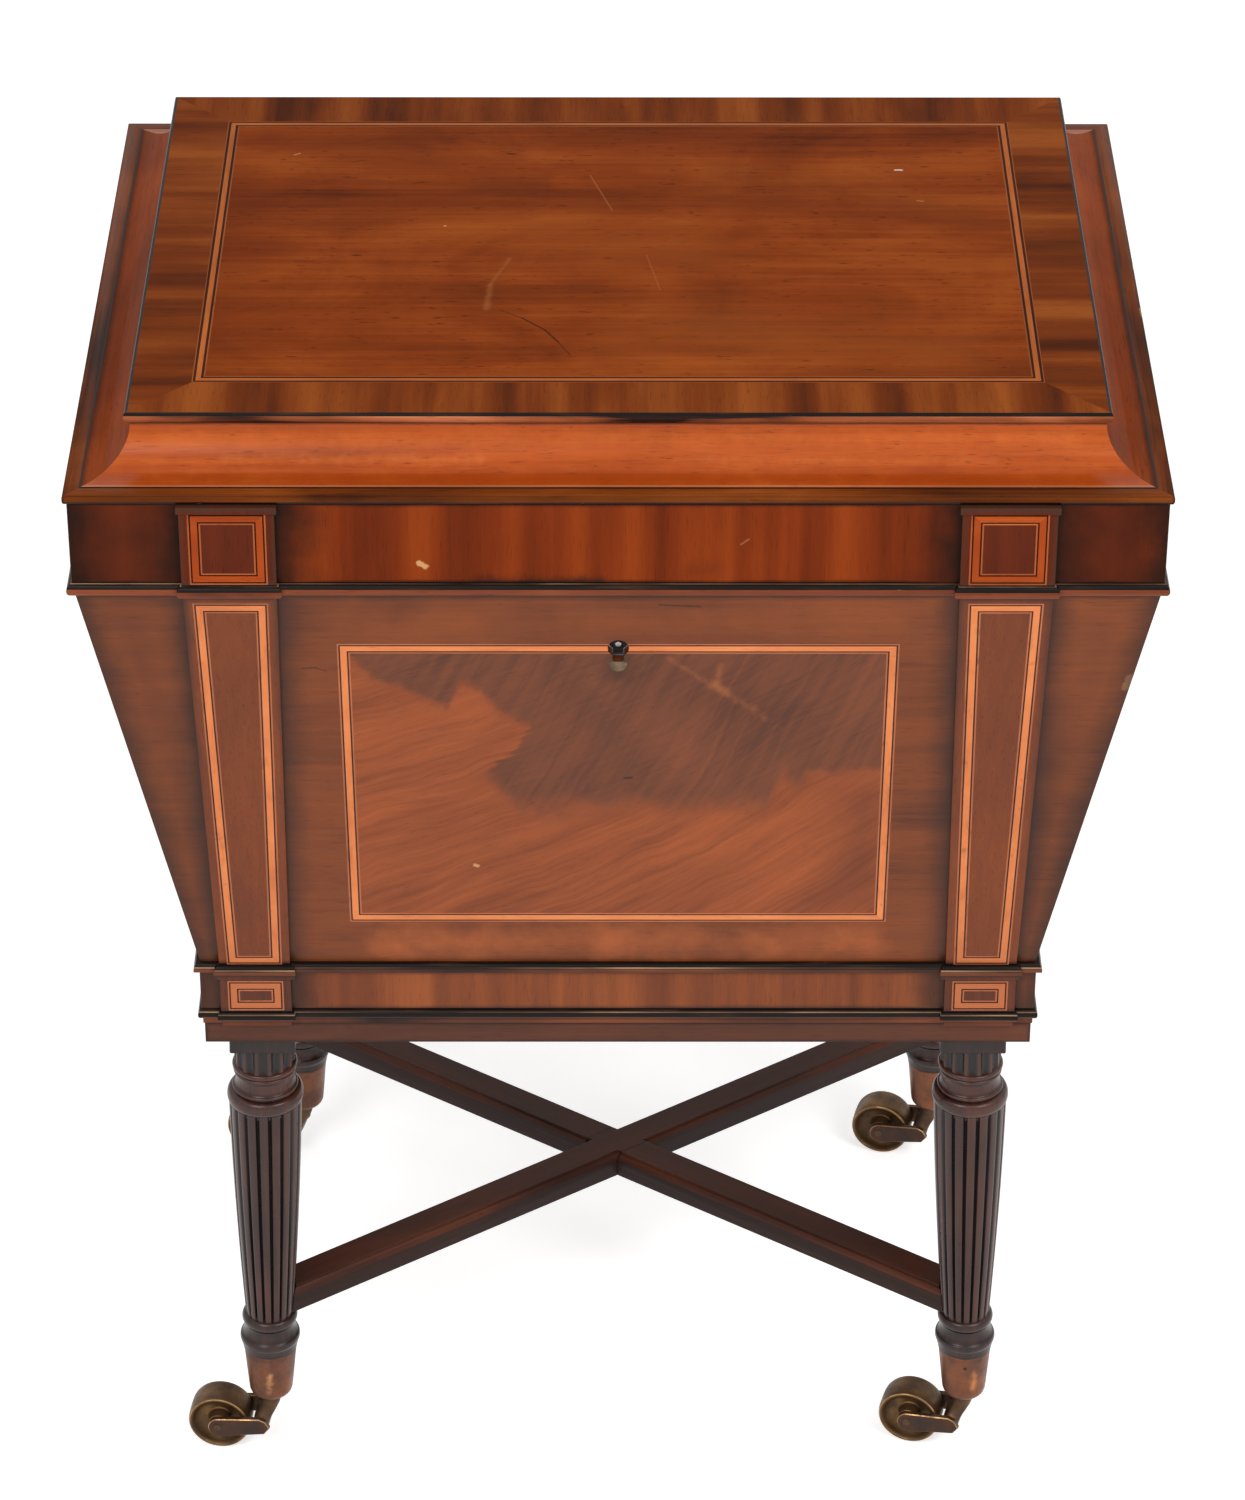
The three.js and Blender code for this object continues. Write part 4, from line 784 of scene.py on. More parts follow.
TOP_FIELD = Timber("faded top veneer", (0.37, 0.082, 0.01), (0.24, 0.042, 0.0045),
                   (0.105, 0.017, 0.002), figure=Figure.FADED, cloud=0.1, streak=0.4, pores=0.5,
                   shine=0.01, flecks=0.75, marks=TOP_MARKS)
TOP_CROSSBAND = Timber("top crossbanding", (0.31, 0.076, 0.012), (0.185, 0.036, 0.005),
                       (0.075, 0.015, 0.003), figure=Figure.BANDED, cloud=0.4, streak=0.25,
                       shine=0.01)
NOSING_WOOD = Timber("nosing rosewood", (0.54, 0.17, 0.07), (0.3, 0.08, 0.028),
                     (0.022, 0.008, 0.006), cloud=1.9, streak=0.9, shine=0.1)
# The cove's mahogany, with its painted shade and painted highlights laid on as marks
COVE_WOOD = Timber("cove mahogany", (0.62, 0.14, 0.023), (0.45, 0.08, 0.009), (0.25, 0.038, 0.004),
                   grime_ends=4.0, grime_rims=1.5, grime_share=0.7, cloud=0.5, streak=0.5,
                   roughness=0.27, shine=0.2, flecks=0.6, marks=COVE_PAINTED_LIGHT)
# A darker copy of the cove's mahogany for its short ends: painted shade, because less light falls
# on them
COVE_END_PAINTED_SHADE_WOOD = Timber("cove end mahogany with painted shade", (0.41, 0.088, 0.022), (0.27, 0.052, 0.012),
                       (0.13, 0.026, 0.007), grime_ends=4.0, grime_rims=1.5, grime_share=0.7,
                       cloud=0.6, streak=0.4, roughness=0.42, shine=0.02)
LEDGE_WOOD = Timber("ledge rosewood", (0.3, 0.073, 0.013), (0.165, 0.036, 0.005),
                    (0.04, 0.01, 0.004), grime_ends=2.0, grime_rims=1.0, grime_share=0.8, cloud=1.0,
                    streak=0.7, shine=0.04, marks=LEDGE_MARKS)
FRIEZE_WOOD = Timber("frieze mahogany", (0.28, 0.045, 0.006), (0.195, 0.028, 0.004),
                     (0.11, 0.016, 0.003), grime_ends=36.0, grime_rims=2.5, grime_share=0.96,
                     figure=Figure.BANDED, cloud=0.3, streak=0.3, shine=0.05, flecks=0.1,
                     marks=FRIEZE_MARKS)
BLOCK_WOOD = Timber("block mahogany", (0.15, 0.023, 0.005), (0.105, 0.016, 0.004),
                    (0.055, 0.01, 0.003), grime=(0.06, 0.03, 0.019), grime_ends=4.5, grime_rims=4.5,
                    grime_share=0.9, cloud=0.5, shine=0.08)
BODY_WOOD = Timber("body mahogany", (0.273, 0.066, 0.0145), (0.194, 0.046, 0.011),
                   (0.094, 0.022, 0.0065), grime=(0.018, 0.009, 0.006), grime_ends=17.0,
                   grime_rims=5.0, grime_share=0.75, cloud=0.6, streak=0.4, shine=0.2,
                   marks=BODY_MARKS)
PILASTER_WOOD = Timber("pilaster mahogany", (0.26, 0.06, 0.013), (0.19, 0.042, 0.01),
                       (0.12, 0.026, 0.008), grime=(0.04, 0.018, 0.012), grime_ends=5.0,
                       grime_rims=4.0, grime_share=0.85, cloud=0.5, streak=0.4)
BASE_WOOD = Timber("base mahogany", (0.33, 0.086, 0.023), (0.215, 0.053, 0.015), (0.13, 0.03, 0.01),
                   grime=(0.018, 0.009, 0.006), grime_ends=26.0, grime_rims=3.0, grime_share=0.88,
                   figure=Figure.BANDED, cloud=0.3, streak=0.3)
BASE_BLOCK_WOOD = Timber("base block mahogany", (0.17, 0.04, 0.016), (0.11, 0.028, 0.012),
                         (0.06, 0.016, 0.008), grime=(0.03, 0.014, 0.01), grime_ends=4.0,
                         grime_rims=4.0, grime_share=0.8, cloud=0.5)
STAND_WOOD = Timber("stand mahogany", (0.16, 0.046, 0.02), (0.1, 0.03, 0.014), (0.05, 0.016, 0.009),
                    grime_ends=3.0, grime_rims=2.5, grime_share=0.85, cloud=0.6, streak=0.4)
LID_BEAD_WOOD = Timber("lid bead mahogany", (0.32, 0.075, 0.027), (0.19, 0.044, 0.016),
                       (0.05, 0.014, 0.007), cloud=0.8, streak=0.5, shine=0.12)
BASE_BEAD_WOOD = Timber("base bead mahogany", (0.25, 0.067, 0.026), (0.12, 0.036, 0.016),
                        (0.02, 0.01, 0.008), cloud=0.9, streak=0.5, shine=0.15)
# A pale line along each black bead's crown: partly its worn edge and partly a painted highlight
BEAD_EDGE_WEAR_AND_HIGHLIGHT = Timber("bead edge worn and with painted highlight", (0.34, 0.2, 0.11), (0.11, 0.06, 0.035),
                     (0.02, 0.012, 0.008), cloud=1.6, streak=1.0, shine=0.15)
UNDER_WOOD = Timber("plain mahogany", (0.19, 0.055, 0.022), (0.13, 0.036, 0.015),
                    (0.075, 0.021, 0.01), roughness=0.5, shine=0.15)
STRETCHER_WOOD = Timber("stretcher mahogany", (0.1, 0.027, 0.011), (0.056, 0.0165, 0.0085),
                        (0.026, 0.01, 0.007), cloud=0.6, streak=0.4, roughness=0.32, shine=0.12)
STRETCHER_EDGE = Timber("stretcher moulding", (0.12, 0.031, 0.012), (0.06, 0.017, 0.009),
                        (0.02, 0.008, 0.006), cloud=0.9, roughness=0.25, shine=0.15)
STRETCHER_SIDE = Timber("stretcher side", (0.05, 0.02, 0.013), (0.027, 0.012, 0.009),
                        (0.012, 0.007, 0.006), roughness=0.35, shine=0.15)
WORN_ARRIS = Timber("worn arris", (0.3, 0.14, 0.075), (0.12, 0.05, 0.027), (0.03, 0.014, 0.01),
                    cloud=1.4, streak=0.8, shine=0.2)
SATINWOOD = Timber("satinwood", (0.93, 0.31, 0.105), (0.77, 0.225, 0.07), (0.5, 0.125, 0.034),
                   figure=Figure.CROSS, cloud=0.4, streak=0.3, pores=0.25, marks=SATIN_MARKS)
RED_SATINWOOD = Timber("reddened satinwood", (0.52, 0.094, 0.014), (0.38, 0.058, 0.008),
                       (0.21, 0.03, 0.005), figure=Figure.CROSS, cloud=0.5, streak=0.3, pores=0.3,
                       shine=0.08,
                       marks=(Mark((-217.7, -215, 656), (-217.7, -215, 659.5), 1.6, SCRATCH, 0.9),))
TOP_SATINWOOD = Timber("top satinwood", (0.58, 0.16, 0.026), (0.44, 0.105, 0.013),
                       (0.27, 0.055, 0.006), figure=Figure.CROSS, cloud=0.4, streak=0.2, pores=0.2,
                       shine=0.04)
DARK_LINE = Timber("dark stringing", (0.085, 0.018, 0.006), (0.04, 0.01, 0.004),
                   (0.018, 0.006, 0.003), shine=0.15)
PALE_LINE = Timber("pale stringing", (0.58, 0.19, 0.08), (0.44, 0.13, 0.05), (0.25, 0.065, 0.024),
                   shine=0.25)
LID_DARK_LINE = Timber("dark lid stringing", (0.07, 0.014, 0.003), (0.035, 0.007, 0.002),
                       (0.014, 0.004, 0.001), shine=0.02)
LID_LINE = Timber("pale lid stringing", (0.52, 0.15, 0.05), (0.4, 0.1, 0.032), (0.22, 0.05, 0.015),
                  shine=0.06)
TOP_LINE = Timber("top stringing", (0.4, 0.11, 0.022), (0.29, 0.068, 0.01), (0.16, 0.032, 0.005),
                  shine=0.04)
KEYHOLE_WOOD = Timber("keyhole wood", (0.03, 0.018, 0.012), (0.015, 0.009, 0.006),
                      (0.006, 0.004, 0.003), shine=0.1)
INNER_WOOD = Timber("inside pine and oak", (0.42, 0.25, 0.12), (0.3, 0.17, 0.075),
                    (0.16, 0.085, 0.035), grime_ends=6.0, grime_rims=6.0, grime_share=0.5,
                    cloud=0.6, roughness=0.6, shine=0.3)
FLAME = FlameVeneer()
LEG_WOOD = TurnedTimber()
BLACK = Ebonised()
LEAD = Metal("lead lining", (0.3, 0.31, 0.32), (0.16, 0.165, 0.17), 0.7, 0.6, 60.0)
CUP_BRASS = Metal("cup brass", (0.22, 0.08, 0.036), (0.07, 0.027, 0.017), 0.5, 0.4, 45.0, CUP_HIGHLIGHTS_AND_MARKS)
WHEEL_BRASS = Metal("castor wheel brass", (0.17, 0.092, 0.036), (0.05, 0.026, 0.014), 0.5, 0.4,
                    90.0)
FORK_BRASS = Metal("castor fork brass", (0.13, 0.07, 0.033), (0.04, 0.019, 0.012), 0.6, 0.4, 70.0)
FORK_FACE = Metal("castor arm face", (0.09, 0.042, 0.022), (0.03, 0.015, 0.011), 0.6, 0.42, 70.0)
RUBBED_BRASS = Metal("rubbed brass edge", (0.44, 0.24, 0.1), (0.1, 0.05, 0.024), 0.45, 0.3, 160.0)
HINGE_BRASS = Metal("hinge brass", (0.62, 0.42, 0.16), (0.22, 0.13, 0.045), 0.5, 0.35, 200.0)
SCREW_BRASS = Metal("screw brass", (0.5, 0.36, 0.17), (0.17, 0.11, 0.05), 0.4, 0.35, 300.0)
LINING_BRASS = Metal("keyhole brass", (0.2, 0.13, 0.08), (0.06, 0.04, 0.028), 0.5, 0.5, 300.0)
STEEL = Metal("lock steel", (0.42, 0.41, 0.4), (0.11, 0.085, 0.07), 0.5, 0.4, 220.0)


# Meshes


@dataclass(frozen=True)
class Lay:
    """How wood lies: the direction of its grain, a direction across it, and a shift.

    The limits, where given, are four planes that bound the board's face, each a direction and
    a distance; otherwise the whole mesh's box bounds it.
    """

    grain: Point = (0, 0, 1)
    across: Point = (1, 0, 0)
    shift: float = 0.0
    limits: tuple[tuple[Point, float], ...] | None = None


UPRIGHT = Lay()
CROSSWAYS = Lay((1, 0, 0), (0, 0, 1))
DEEPWAYS = Lay((0, 1, 0), (0, 0, 1))


class Run(Enum):
    """How the grain of a lofted strip runs."""

    ALONG = "along the strip"
    ACROSS = "level, across the strip"
    UPRIGHT = "upright"


@dataclass(frozen=True)
class Course:
    """One strip of a loft: its finish, how its grain runs, and the finish of its short sides."""

    finish: Finish
    run: Run = Run.ALONG
    ends: Finish | None = None


class Shape:
    """A mesh in the making: points in millimetres, and each face with its finish and lay."""

    def __init__(self) -> None:
        """Starts with nothing."""
        self.points: list[Point] = []
        self.faces: list[tuple[int, ...]] = []
        self.finishes: list[Finish] = []
        self.lays: list[Lay] = []
        self.carving: list[Point] = []

    def add(self, points: Iterable[Point], faces: Iterable[Sequence[int]], finish: Finish,
            lay: Lay = UPRIGHT, carving: Sequence[Point] | None = None) -> Shape:
        """Adds points and faces to the mesh.

        Args:
            points: the points.
            faces: the faces, as places in these points.
            finish: the finish of all of them.
            lay: how their wood lies.
            carving: how deep each point lies in a hollow and how strongly a painted highlight lies
                on it.

        Returns:
            The shape.
        """
        start = len(self.points)
        self.points.extend(tuple(point) for point in points)
        fresh = len(self.points) - start
        self.carving.extend(carving if carving is not None else [(0.0, 0.0, 0.0)] * fresh)
        for face in faces:
            self.faces.append(tuple(start + corner for corner in face))
            self.finishes.append(finish)
            self.lays.append(lay)
        return self

    def loft(self, rings: Sequence[Ring], courses: Sequence[Course], first: Course | None = None,
             last: Course | None = None) -> Shape:
        """Adds a surface through rings of points.

        Args:
            rings: rings with the same number of points.
            courses: the strip from each ring to the next; as many as the rings closes the
                loft on its first ring.
            first: a flat end inside the first ring, where there is one.
            last: a flat end inside the last ring, where there is one.

        Returns:
            The shape.
        """
        size = len(rings[0])
        for number, course in enumerate(courses):
            low, high = rings[number], rings[(number + 1) % len(rings)]
            for i in range(size):
                j = (i + 1) % size
                lay = run_lay(low[i], low[j], course.run, 0.37 * i)
                finish = course.ends if course.ends and i % 2 else course.finish
                self.add([low[i], low[j], high[j], high[i]], [(0, 1, 2, 3)], finish, lay)
        for course, ring in ((first, rings[0]), (last, rings[-1])):
            if course is not None:
                self.add(ring, [range(size)], course.finish, CROSSWAYS)
        return self

    def turned(self, profile: Sequence[tuple[float, ...]], finish: Finish, segments: int = 64,
               rubbed: Sequence[int] = (), rubbed_finish: Finish | None = None) -> Shape:
        """Adds a solid turned about Z.

        Args:
            profile: a radius, a height and, where the wood is darkened, a depth for each
                ring; a profile that ends where it began makes a hollow ring.
            finish: the finish.
            segments: the points round each ring.
            rubbed: the places of strips that have another finish.
            rubbed_finish: that finish.

        Returns:
            The shape.
        """
        hollow = profile[0][:2] == profile[-1][:2]
        rings = [(*ring, 0.0)[:3] for ring in (profile[:-1] if hollow else profile)]
        turns = [(math.cos(a), math.sin(a)) for a in np.linspace(0, 2 * math.pi, segments, False)]
        points = [(r * c, r * s, z) for r, z, _ in rings for c, s in turns]
        carving = [(depth, 0.0, 0.0) for _, _, depth in rings for _ in turns]
        faces: list[Sequence[int]] = []
        strips = len(rings) if hollow else len(rings) - 1
        for ring in range(strips):
            low, high = ring * segments, (ring + 1) % len(rings) * segments
            faces += [(low + i, low + (i + 1) % segments, high + (i + 1) % segments, high + i)
                      for i in range(segments)]
        if not hollow:
            faces += [range(segments), range(len(points) - segments, len(points))]
        start = len(self.faces)
        self.add(points, faces, finish, UPRIGHT, carving)
        for ring in rubbed:
            first = start + ring % strips * segments
            self.finishes[first:first + segments] = [rubbed_finish] * segments
        return self

    def take(self, mesh: bpy.types.Mesh, finish: Finish) -> Shape:
        """Adds a made mesh with its carving.

        Args:
            mesh: the mesh, in metres.
            finish: its finish.

        Returns:
            The shape.
        """
        layer = mesh.attributes["carving"].data
        return self.add([vert.co / MM for vert in mesh.vertices],
                        [tuple(polygon.vertices) for polygon in mesh.polygons], finish, UPRIGHT,
                        [tuple(item.vector) for item in layer])

    def moved(self, change: Matrix) -> Shape:
        """Moves every point by a matrix and returns the shape."""
        self.points = [tuple(change @ Vector(point)) for point in self.points]
        return self

    def joined(self, other: Shape) -> Shape:
        """Takes in another shape's faces.

        Args:
            other: the other shape, which stays as it is.

        Returns:
            The shape.
        """
        start = len(self.points)
        self.points += other.points
        self.faces += [tuple(start + corner for corner in face) for face in other.faces]
        self.finishes += other.finishes
        self.lays += other.lays
        self.carving += other.carving
        return self

    def mesh(self, name: str) -> bpy.types.Mesh:
        """Makes the mesh, in metres, with its wood and rim attributes and outward faces.

        Args:
            name: the mesh's name.

        Returns:
            The mesh.
        """
        mesh = bpy.data.meshes.new(name)
        mesh.from_pydata([Vector(point) * MM for point in self.points], [], self.faces)
        materials = list(dict.fromkeys(finish.name for finish in self.finishes))
        for finish in dict.fromkeys(self.finishes):
            mesh.materials.append(finish.material())
        places = [materials.index(finish.name) for finish in self.finishes]
        mesh.polygons.foreach_set("material_index", places)
        self._lay(mesh)
        weld(mesh)
        smoothed(mesh)
        return mesh

    def _lay(self, mesh: bpy.types.Mesh) -> None:
        """Writes the attributes that the finishes read, the wood's with a value at each corner.

        Args:
            mesh: the mesh, with this shape's points and faces.
        """
        points = np.array(self.points, float)
        low, high = points.min(0), points.max(0)
        wood, rim_low, rim_high = [], [], []
        for polygon, lay in zip(mesh.polygons, self.lays):
            corners = points[list(polygon.vertices)]
            grain, across = np.array(lay.grain, float), np.array(lay.across, float)
            axes = np.array([grain, across, np.cross(grain, across)])
            shift = np.array(WOOD_SHIFT) * lay.shift
            wood.append(corners @ axes.T * MM + shift)
            if lay.limits is None:
                facing = int(np.argmax(np.abs(np.array(polygon.normal))))
                first, second = [axis for axis in range(3) if axis != facing]
                near = [corners[:, first] - low[first], corners[:, second] - low[second]]
                far = [high[first] - corners[:, first], high[second] - corners[:, second]]
            else:
                ways = [corners @ np.array(way, float) - reach for way, reach in lay.limits]
                near, far = ways[:2], ways[2:]
            nought = np.zeros(len(corners))
            rim_low.append(np.stack([*near, nought], 1) * MM)
            rim_high.append(np.stack([*far, nought], 1) * MM)
        for name, rows in (("wood", wood), ("rim_low", rim_low), ("rim_high", rim_high)):
            layer = mesh.attributes.new(name, "FLOAT_VECTOR", "CORNER")
            layer.data.foreach_set("vector", np.concatenate(rows).astype(np.float32).ravel())
        layer = mesh.attributes.new("carving", "FLOAT_VECTOR", "POINT")
        layer.data.foreach_set("vector", np.array(self.carving, np.float32).ravel())


def run_lay(start: Point, end: Point, run: Run, shift: float) -> Lay:
    """Chooses the lay of one quad of a strip.

    Args:
        start: the first point of the quad's level edge.
        end: the edge's last point.
        run: how the strip's grain runs.
        shift: the wood's shift.

    Returns:
        The lay.
    """
    way = Vector(end) - Vector(start)
    way.normalize()
    level = Vector((-way.y, way.x, 0))
    if run is Run.ALONG:
        return Lay(tuple(way), tuple(level), shift)
    if run is Run.ACROSS:
        return Lay(tuple(level), tuple(way), shift)
    return Lay((0, 0, 1), tuple(way), shift)


def weld(mesh: bpy.types.Mesh) -> None:
    """Joins points that lie together and turns the faces outwards.

    Args:
        mesh: the mesh.
    """
    work = bmesh.new()
    work.from_mesh(mesh)
    bmesh.ops.remove_doubles(work, verts=work.verts, dist=SAME_PLACE)
    bmesh.ops.recalc_face_normals(work, faces=work.faces)
    work.to_mesh(mesh)
    work.free()


def smoothed(mesh: bpy.types.Mesh) -> None:
    """Shades a mesh smooth, but for its sharp edges."""
    mesh.shade_smooth()
    mesh.set_sharp_from_angle(angle=SHARP)


def soften(piece: bpy.types.Object, width: float, worn: Finish | None = None) -> None:
    """Rounds a piece's sharp edges with a bevel.

    Args:
        piece: the piece.
        width: the bevel's width in millimetres.
        worn: the finish of the rounded edges, where it isn't that of the faces beside them.
    """
    bevel = piece.modifiers.new("arris", "BEVEL")
    bevel.width = width * MM
    bevel.segments = 2
    bevel.limit_method = "ANGLE"
    bevel.angle_limit = BEVELLED
    bevel.harden_normals = True
    if worn is not None:
        piece.data.materials.append(worn.material())
        bevel.material = len(piece.data.materials) - 1


def seat(name: str, mesh: bpy.types.Mesh, body: str, slot: str, nodes: Sequence[str] = (),
         arris: float = 0.0, worn: Finish | None = None) -> bpy.types.Object:
    """Puts a finished mesh into the scene as a piece.

    Args:
        name: the piece's name.
        mesh: its mesh, in place.
        body: the body that it moves with.
        slot: the record's material slot; not used.
        nodes: the nodes that it stands for.
        arris: the width of its rounded edges, in millimetres.
        worn: the finish of those edges, where they are rubbed.

    Returns:
        The piece.
    """
    piece = bpy.data.objects.new(name, mesh)
    bpy.context.scene.collection.objects.link(piece)
    if arris:
        soften(piece, arris, worn)
    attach(piece, body)
    if nodes:
        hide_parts(*nodes)
    LOG.info("%s: %d faces", name, len(mesh.polygons))
    return piece


@dataclass(frozen=True)
class Bays:
    """The bays of a front board between upright lines, each its place at the foot and the head."""

    lines: tuple[Flat, ...]
    foot: float
    head: float

    def planes(self) -> list[tuple[Vector, float]]:
        """Stands an upright plane on each line.

        Returns:
            Each plane as a direction to the right and a distance.
        """
        out = []
        for low, high in self.lines:
            way = Vector((self.head - self.foot, 0, low - high)).normalized()
            out.append((way, way.dot(Vector((low, 0, self.foot)))))
        return out

    def limits(self, middle: Vector) -> tuple[tuple[Point, float], ...]:
        """Finds what bounds a face of the board.

        Args:
            middle: the face's middle.

        Returns:
            The four planes round the bay in which the face lies.
        """
        planes = self.planes()
        number = sum(way.dot(middle) > reach for way, reach in planes[1:-1])
        (left, left_reach), (right, right_reach) = planes[number], planes[number + 1]
        return ((tuple(left), left_reach), ((0, 0, 1), self.foot),
                (tuple(-right), -right_reach), ((0, 0, -1), -self.head))


Chooser = Callable[[Vector, Vector], Finish]


def carried(node: str, finish: Finish | Chooser, lay: Lay, bays: Bays | None = None,
            cutter: bpy.types.Mesh | None = None) -> Shape:
    """A copy of a node's solid with its triangles merged into flat faces.

    Args:
        node: the node.
        finish: the finish of every face, or what chooses it by the face's middle, in
            millimetres, and the way that it faces.
        lay: how the wood lies.
        bays: the bays into which the front is parted, where it is.
        cutter: a closed mesh that is cut out, where there is one.

    Returns:
        The shape.
    """
    work = bmesh.new()
    source = bpy.data.objects[node].data
    work.from_mesh(cut_out(source.copy(), cutter) if cutter else source)
    bmesh.ops.remove_doubles(work, verts=work.verts, dist=2 * SAME_PLACE)
    bmesh.ops.dissolve_limit(work, angle_limit=SAME_FACE, verts=work.verts,
                             edges=work.edges)
    for way, reach in bays.planes()[1:-1] if bays else []:
        bmesh.ops.bisect_plane(work, geom=[*work.verts, *work.edges, *work.faces],
                               plane_co=way * reach * MM, plane_no=way)
    work.verts.ensure_lookup_table()
    shape = Shape()
    shape.points = [tuple(vert.co / MM) for vert in work.verts]
    shape.carving = [(0.0, 0.0, 0.0)] * len(shape.points)
    for face in work.faces:
        middle = face.calc_center_median() / MM
        shape.faces.append(tuple(vert.index for vert in face.verts))
        chosen = finish if isinstance(finish, Finish) else finish(middle, face.normal)
        shape.finishes.append(chosen)
        front = bays is not None and face.normal.y < -0.5
        limits = bays.limits(middle) if front else lay.limits
        shape.lays.append(Lay(lay.grain, lay.across, lay.shift, limits))
    work.free()
    return shape


def cut_out(mesh: bpy.types.Mesh, cutter: bpy.types.Mesh) -> bpy.types.Mesh:
    """Cuts a closed mesh out of another.

    Args:
        mesh: the mesh that is cut.
        cutter: the mesh that is taken out of it.

    Returns:
        What is left, as a new mesh.
    """
    pair = [bpy.data.objects.new(part.name, part) for part in (mesh, cutter)]
    for part in pair:
        bpy.context.scene.collection.objects.link(part)
    cut = pair[0].modifiers.new("cut", "BOOLEAN")
    cut.operation, cut.solver, cut.material_mode = "DIFFERENCE", "EXACT", "TRANSFER"
    cut.object = pair[1]
    depsgraph = bpy.context.evaluated_depsgraph_get()
    left = bpy.data.meshes.new_from_object(pair[0].evaluated_get(depsgraph))
    for part in pair:
        bpy.data.objects.remove(part)
    smoothed(left)
    return left


def carry(node: str, body: str, slot: str, finish: Finish | Chooser, lay: Lay,
          arris: float = ARRIS, bays: Bays | None = None,
          worn: Finish | None = None) -> bpy.types.Object:
    """Makes a piece from a node's own solid, dressed and with softened edges."""
    mesh = carried(node, finish, lay, bays).mesh(node)
    return seat(f"{node}_dressed", mesh, body, slot, [node], arris, worn)


def mould(name: str, node: str, rings: Sequence[Ring], courses: Sequence[Course], body: str,
          slot: str) -> None:
    """Makes a piece that stands for a node from a moulding's closed loft."""
    seat(name, Shape().loft(rings, courses).mesh(name), body, slot, [node])


def veneered(middle: Vector, way: Vector) -> Finish:
    """A frieze board's finish: veneer outside, plain wood inside."""
    inside = way.xy.length > 0.5 and way.xy.dot(middle.xy) < 0
    return INNER_WOOD if inside else FRIEZE_WOOD


def stretcher_finish(_: Vector, way: Vector) -> Finish:
    """A stretcher's finish: its flat, its moulded edges or its sides."""
    steep = abs(way.z)
    return STRETCHER_WOOD if steep > 0.97 else STRETCHER_SIDE if steep < 0.1 else STRETCHER_EDGE


def bulge(root: float, crown: float, top: float, foot: float, steps: int = 10) -> list[Flat]:
    """Points of a rounded ring.

    Args:
        root: the radius, or the inset, at its two edges.
        crown: the same at its middle.
        top: the height where it begins.
        foot: the height where it ends.
        steps: the number of flats.

    Returns:
        A radius and a height for each point.
    """
    turns = [math.pi * i / steps for i in range(steps + 1)]
    return [(root + (crown - root) * math.sin(turn), top + (foot - top) * (1 - math.cos(turn)) / 2)
            for turn in turns]


def turning(rows: Iterable[tuple[float, ...]]) -> list[tuple[float, ...]]:
    """The profile of a turned stretch.

    Args:
        rows: rings of two or three numbers, as Shape.turned() takes them, and rounded rings of
            four or five, as bulge() takes them.

    Returns:
        The profile's rings.
    """
    out: list[tuple[float, ...]] = []
    for row in rows:
        out += [row] if len(row) < 4 else bulge(*row)
    return out


# Geometry trees


class Grower:
    """A geometry tree with named inputs that makes a plain mesh from numbers."""

    def __init__(self, name: str, inputs: dict[str, str]) -> None:
        """Makes the tree with its inputs and its output.

        Args:
            name: the tree's name.
            inputs: the type of each input's socket, by the input's name.
        """
        self.tree = bpy.data.node_groups.new(name, "GeometryNodeTree")
        interface = self.tree.interface
        interface.new_socket("Geometry", in_out="OUTPUT", socket_type="NodeSocketGeometry")
        interface.new_socket("Geometry", in_out="INPUT", socket_type="NodeSocketGeometry")
        for label, kind in inputs.items():
            interface.new_socket(label, in_out="INPUT", socket_type=kind)
        self.graph = Graph(self.tree)
        self.entry = self.graph.node("NodeGroupInput")

    def given(self, label: str) -> Value:
        """The input of that name."""
        return Value(self.graph, self.entry.outputs[label])

    def close(self, geometry: Value, finish: Value) -> None:
        """Ends the tree by making its instances real and giving them their material.

        Args:
            geometry: what the tree has made.
            finish: its material.
        """
        real = self.graph.output("GeometryNodeRealizeInstances", "Geometry",
                                 values={"Geometry": geometry})
        done = self.graph.output("GeometryNodeSetMaterial", "Geometry",
                                 values={"Geometry": real, "Material": finish})
        end = self.graph.node("NodeGroupOutput")
        self.tree.links.new(done.socket, end.inputs[0])

    def grow(self, settings: dict[str, Any], seed: bpy.types.Mesh | None = None) -> bpy.types.Mesh:
        """Runs the tree and returns what it makes as a plain mesh.

        Args:
            settings: a value for each named input.
            seed: the mesh that the tree starts from, where it needs one.

        Returns:
            The mesh.
        """
        carrier = bpy.data.objects.new("carrier", seed or bpy.data.meshes.new("carrier"))
        bpy.context.scene.collection.objects.link(carrier)
        modifier = carrier.modifiers.new("tree", "NODES")
        modifier.node_group = self.tree
        sockets = {item.name: item.identifier for item in self.tree.interface.items_tree
                   if item.in_out == "INPUT"}
        for label, value in settings.items():
            modifier[sockets[label]] = value
        depsgraph = bpy.context.evaluated_depsgraph_get()
        mesh = bpy.data.meshes.new_from_object(carrier.evaluated_get(depsgraph))
        bpy.data.objects.remove(carrier)
        return mesh


class Grown:
    """What a geometry tree makes, with one tree for each kind."""

    tree: Grower | None = None

    @classmethod
    def grower(cls) -> Grower:
        """The tree, made at its first use."""
        cls.tree = cls.tree or cls.build()
        return cls.tree

    @staticmethod
    def build() -> Grower:
        """Builds the tree."""
        raise NotImplementedError


class Carving(Enum):
    """What is cut round a turned stretch."""

    REEDS = 0.0
    FLUTES = 1.0


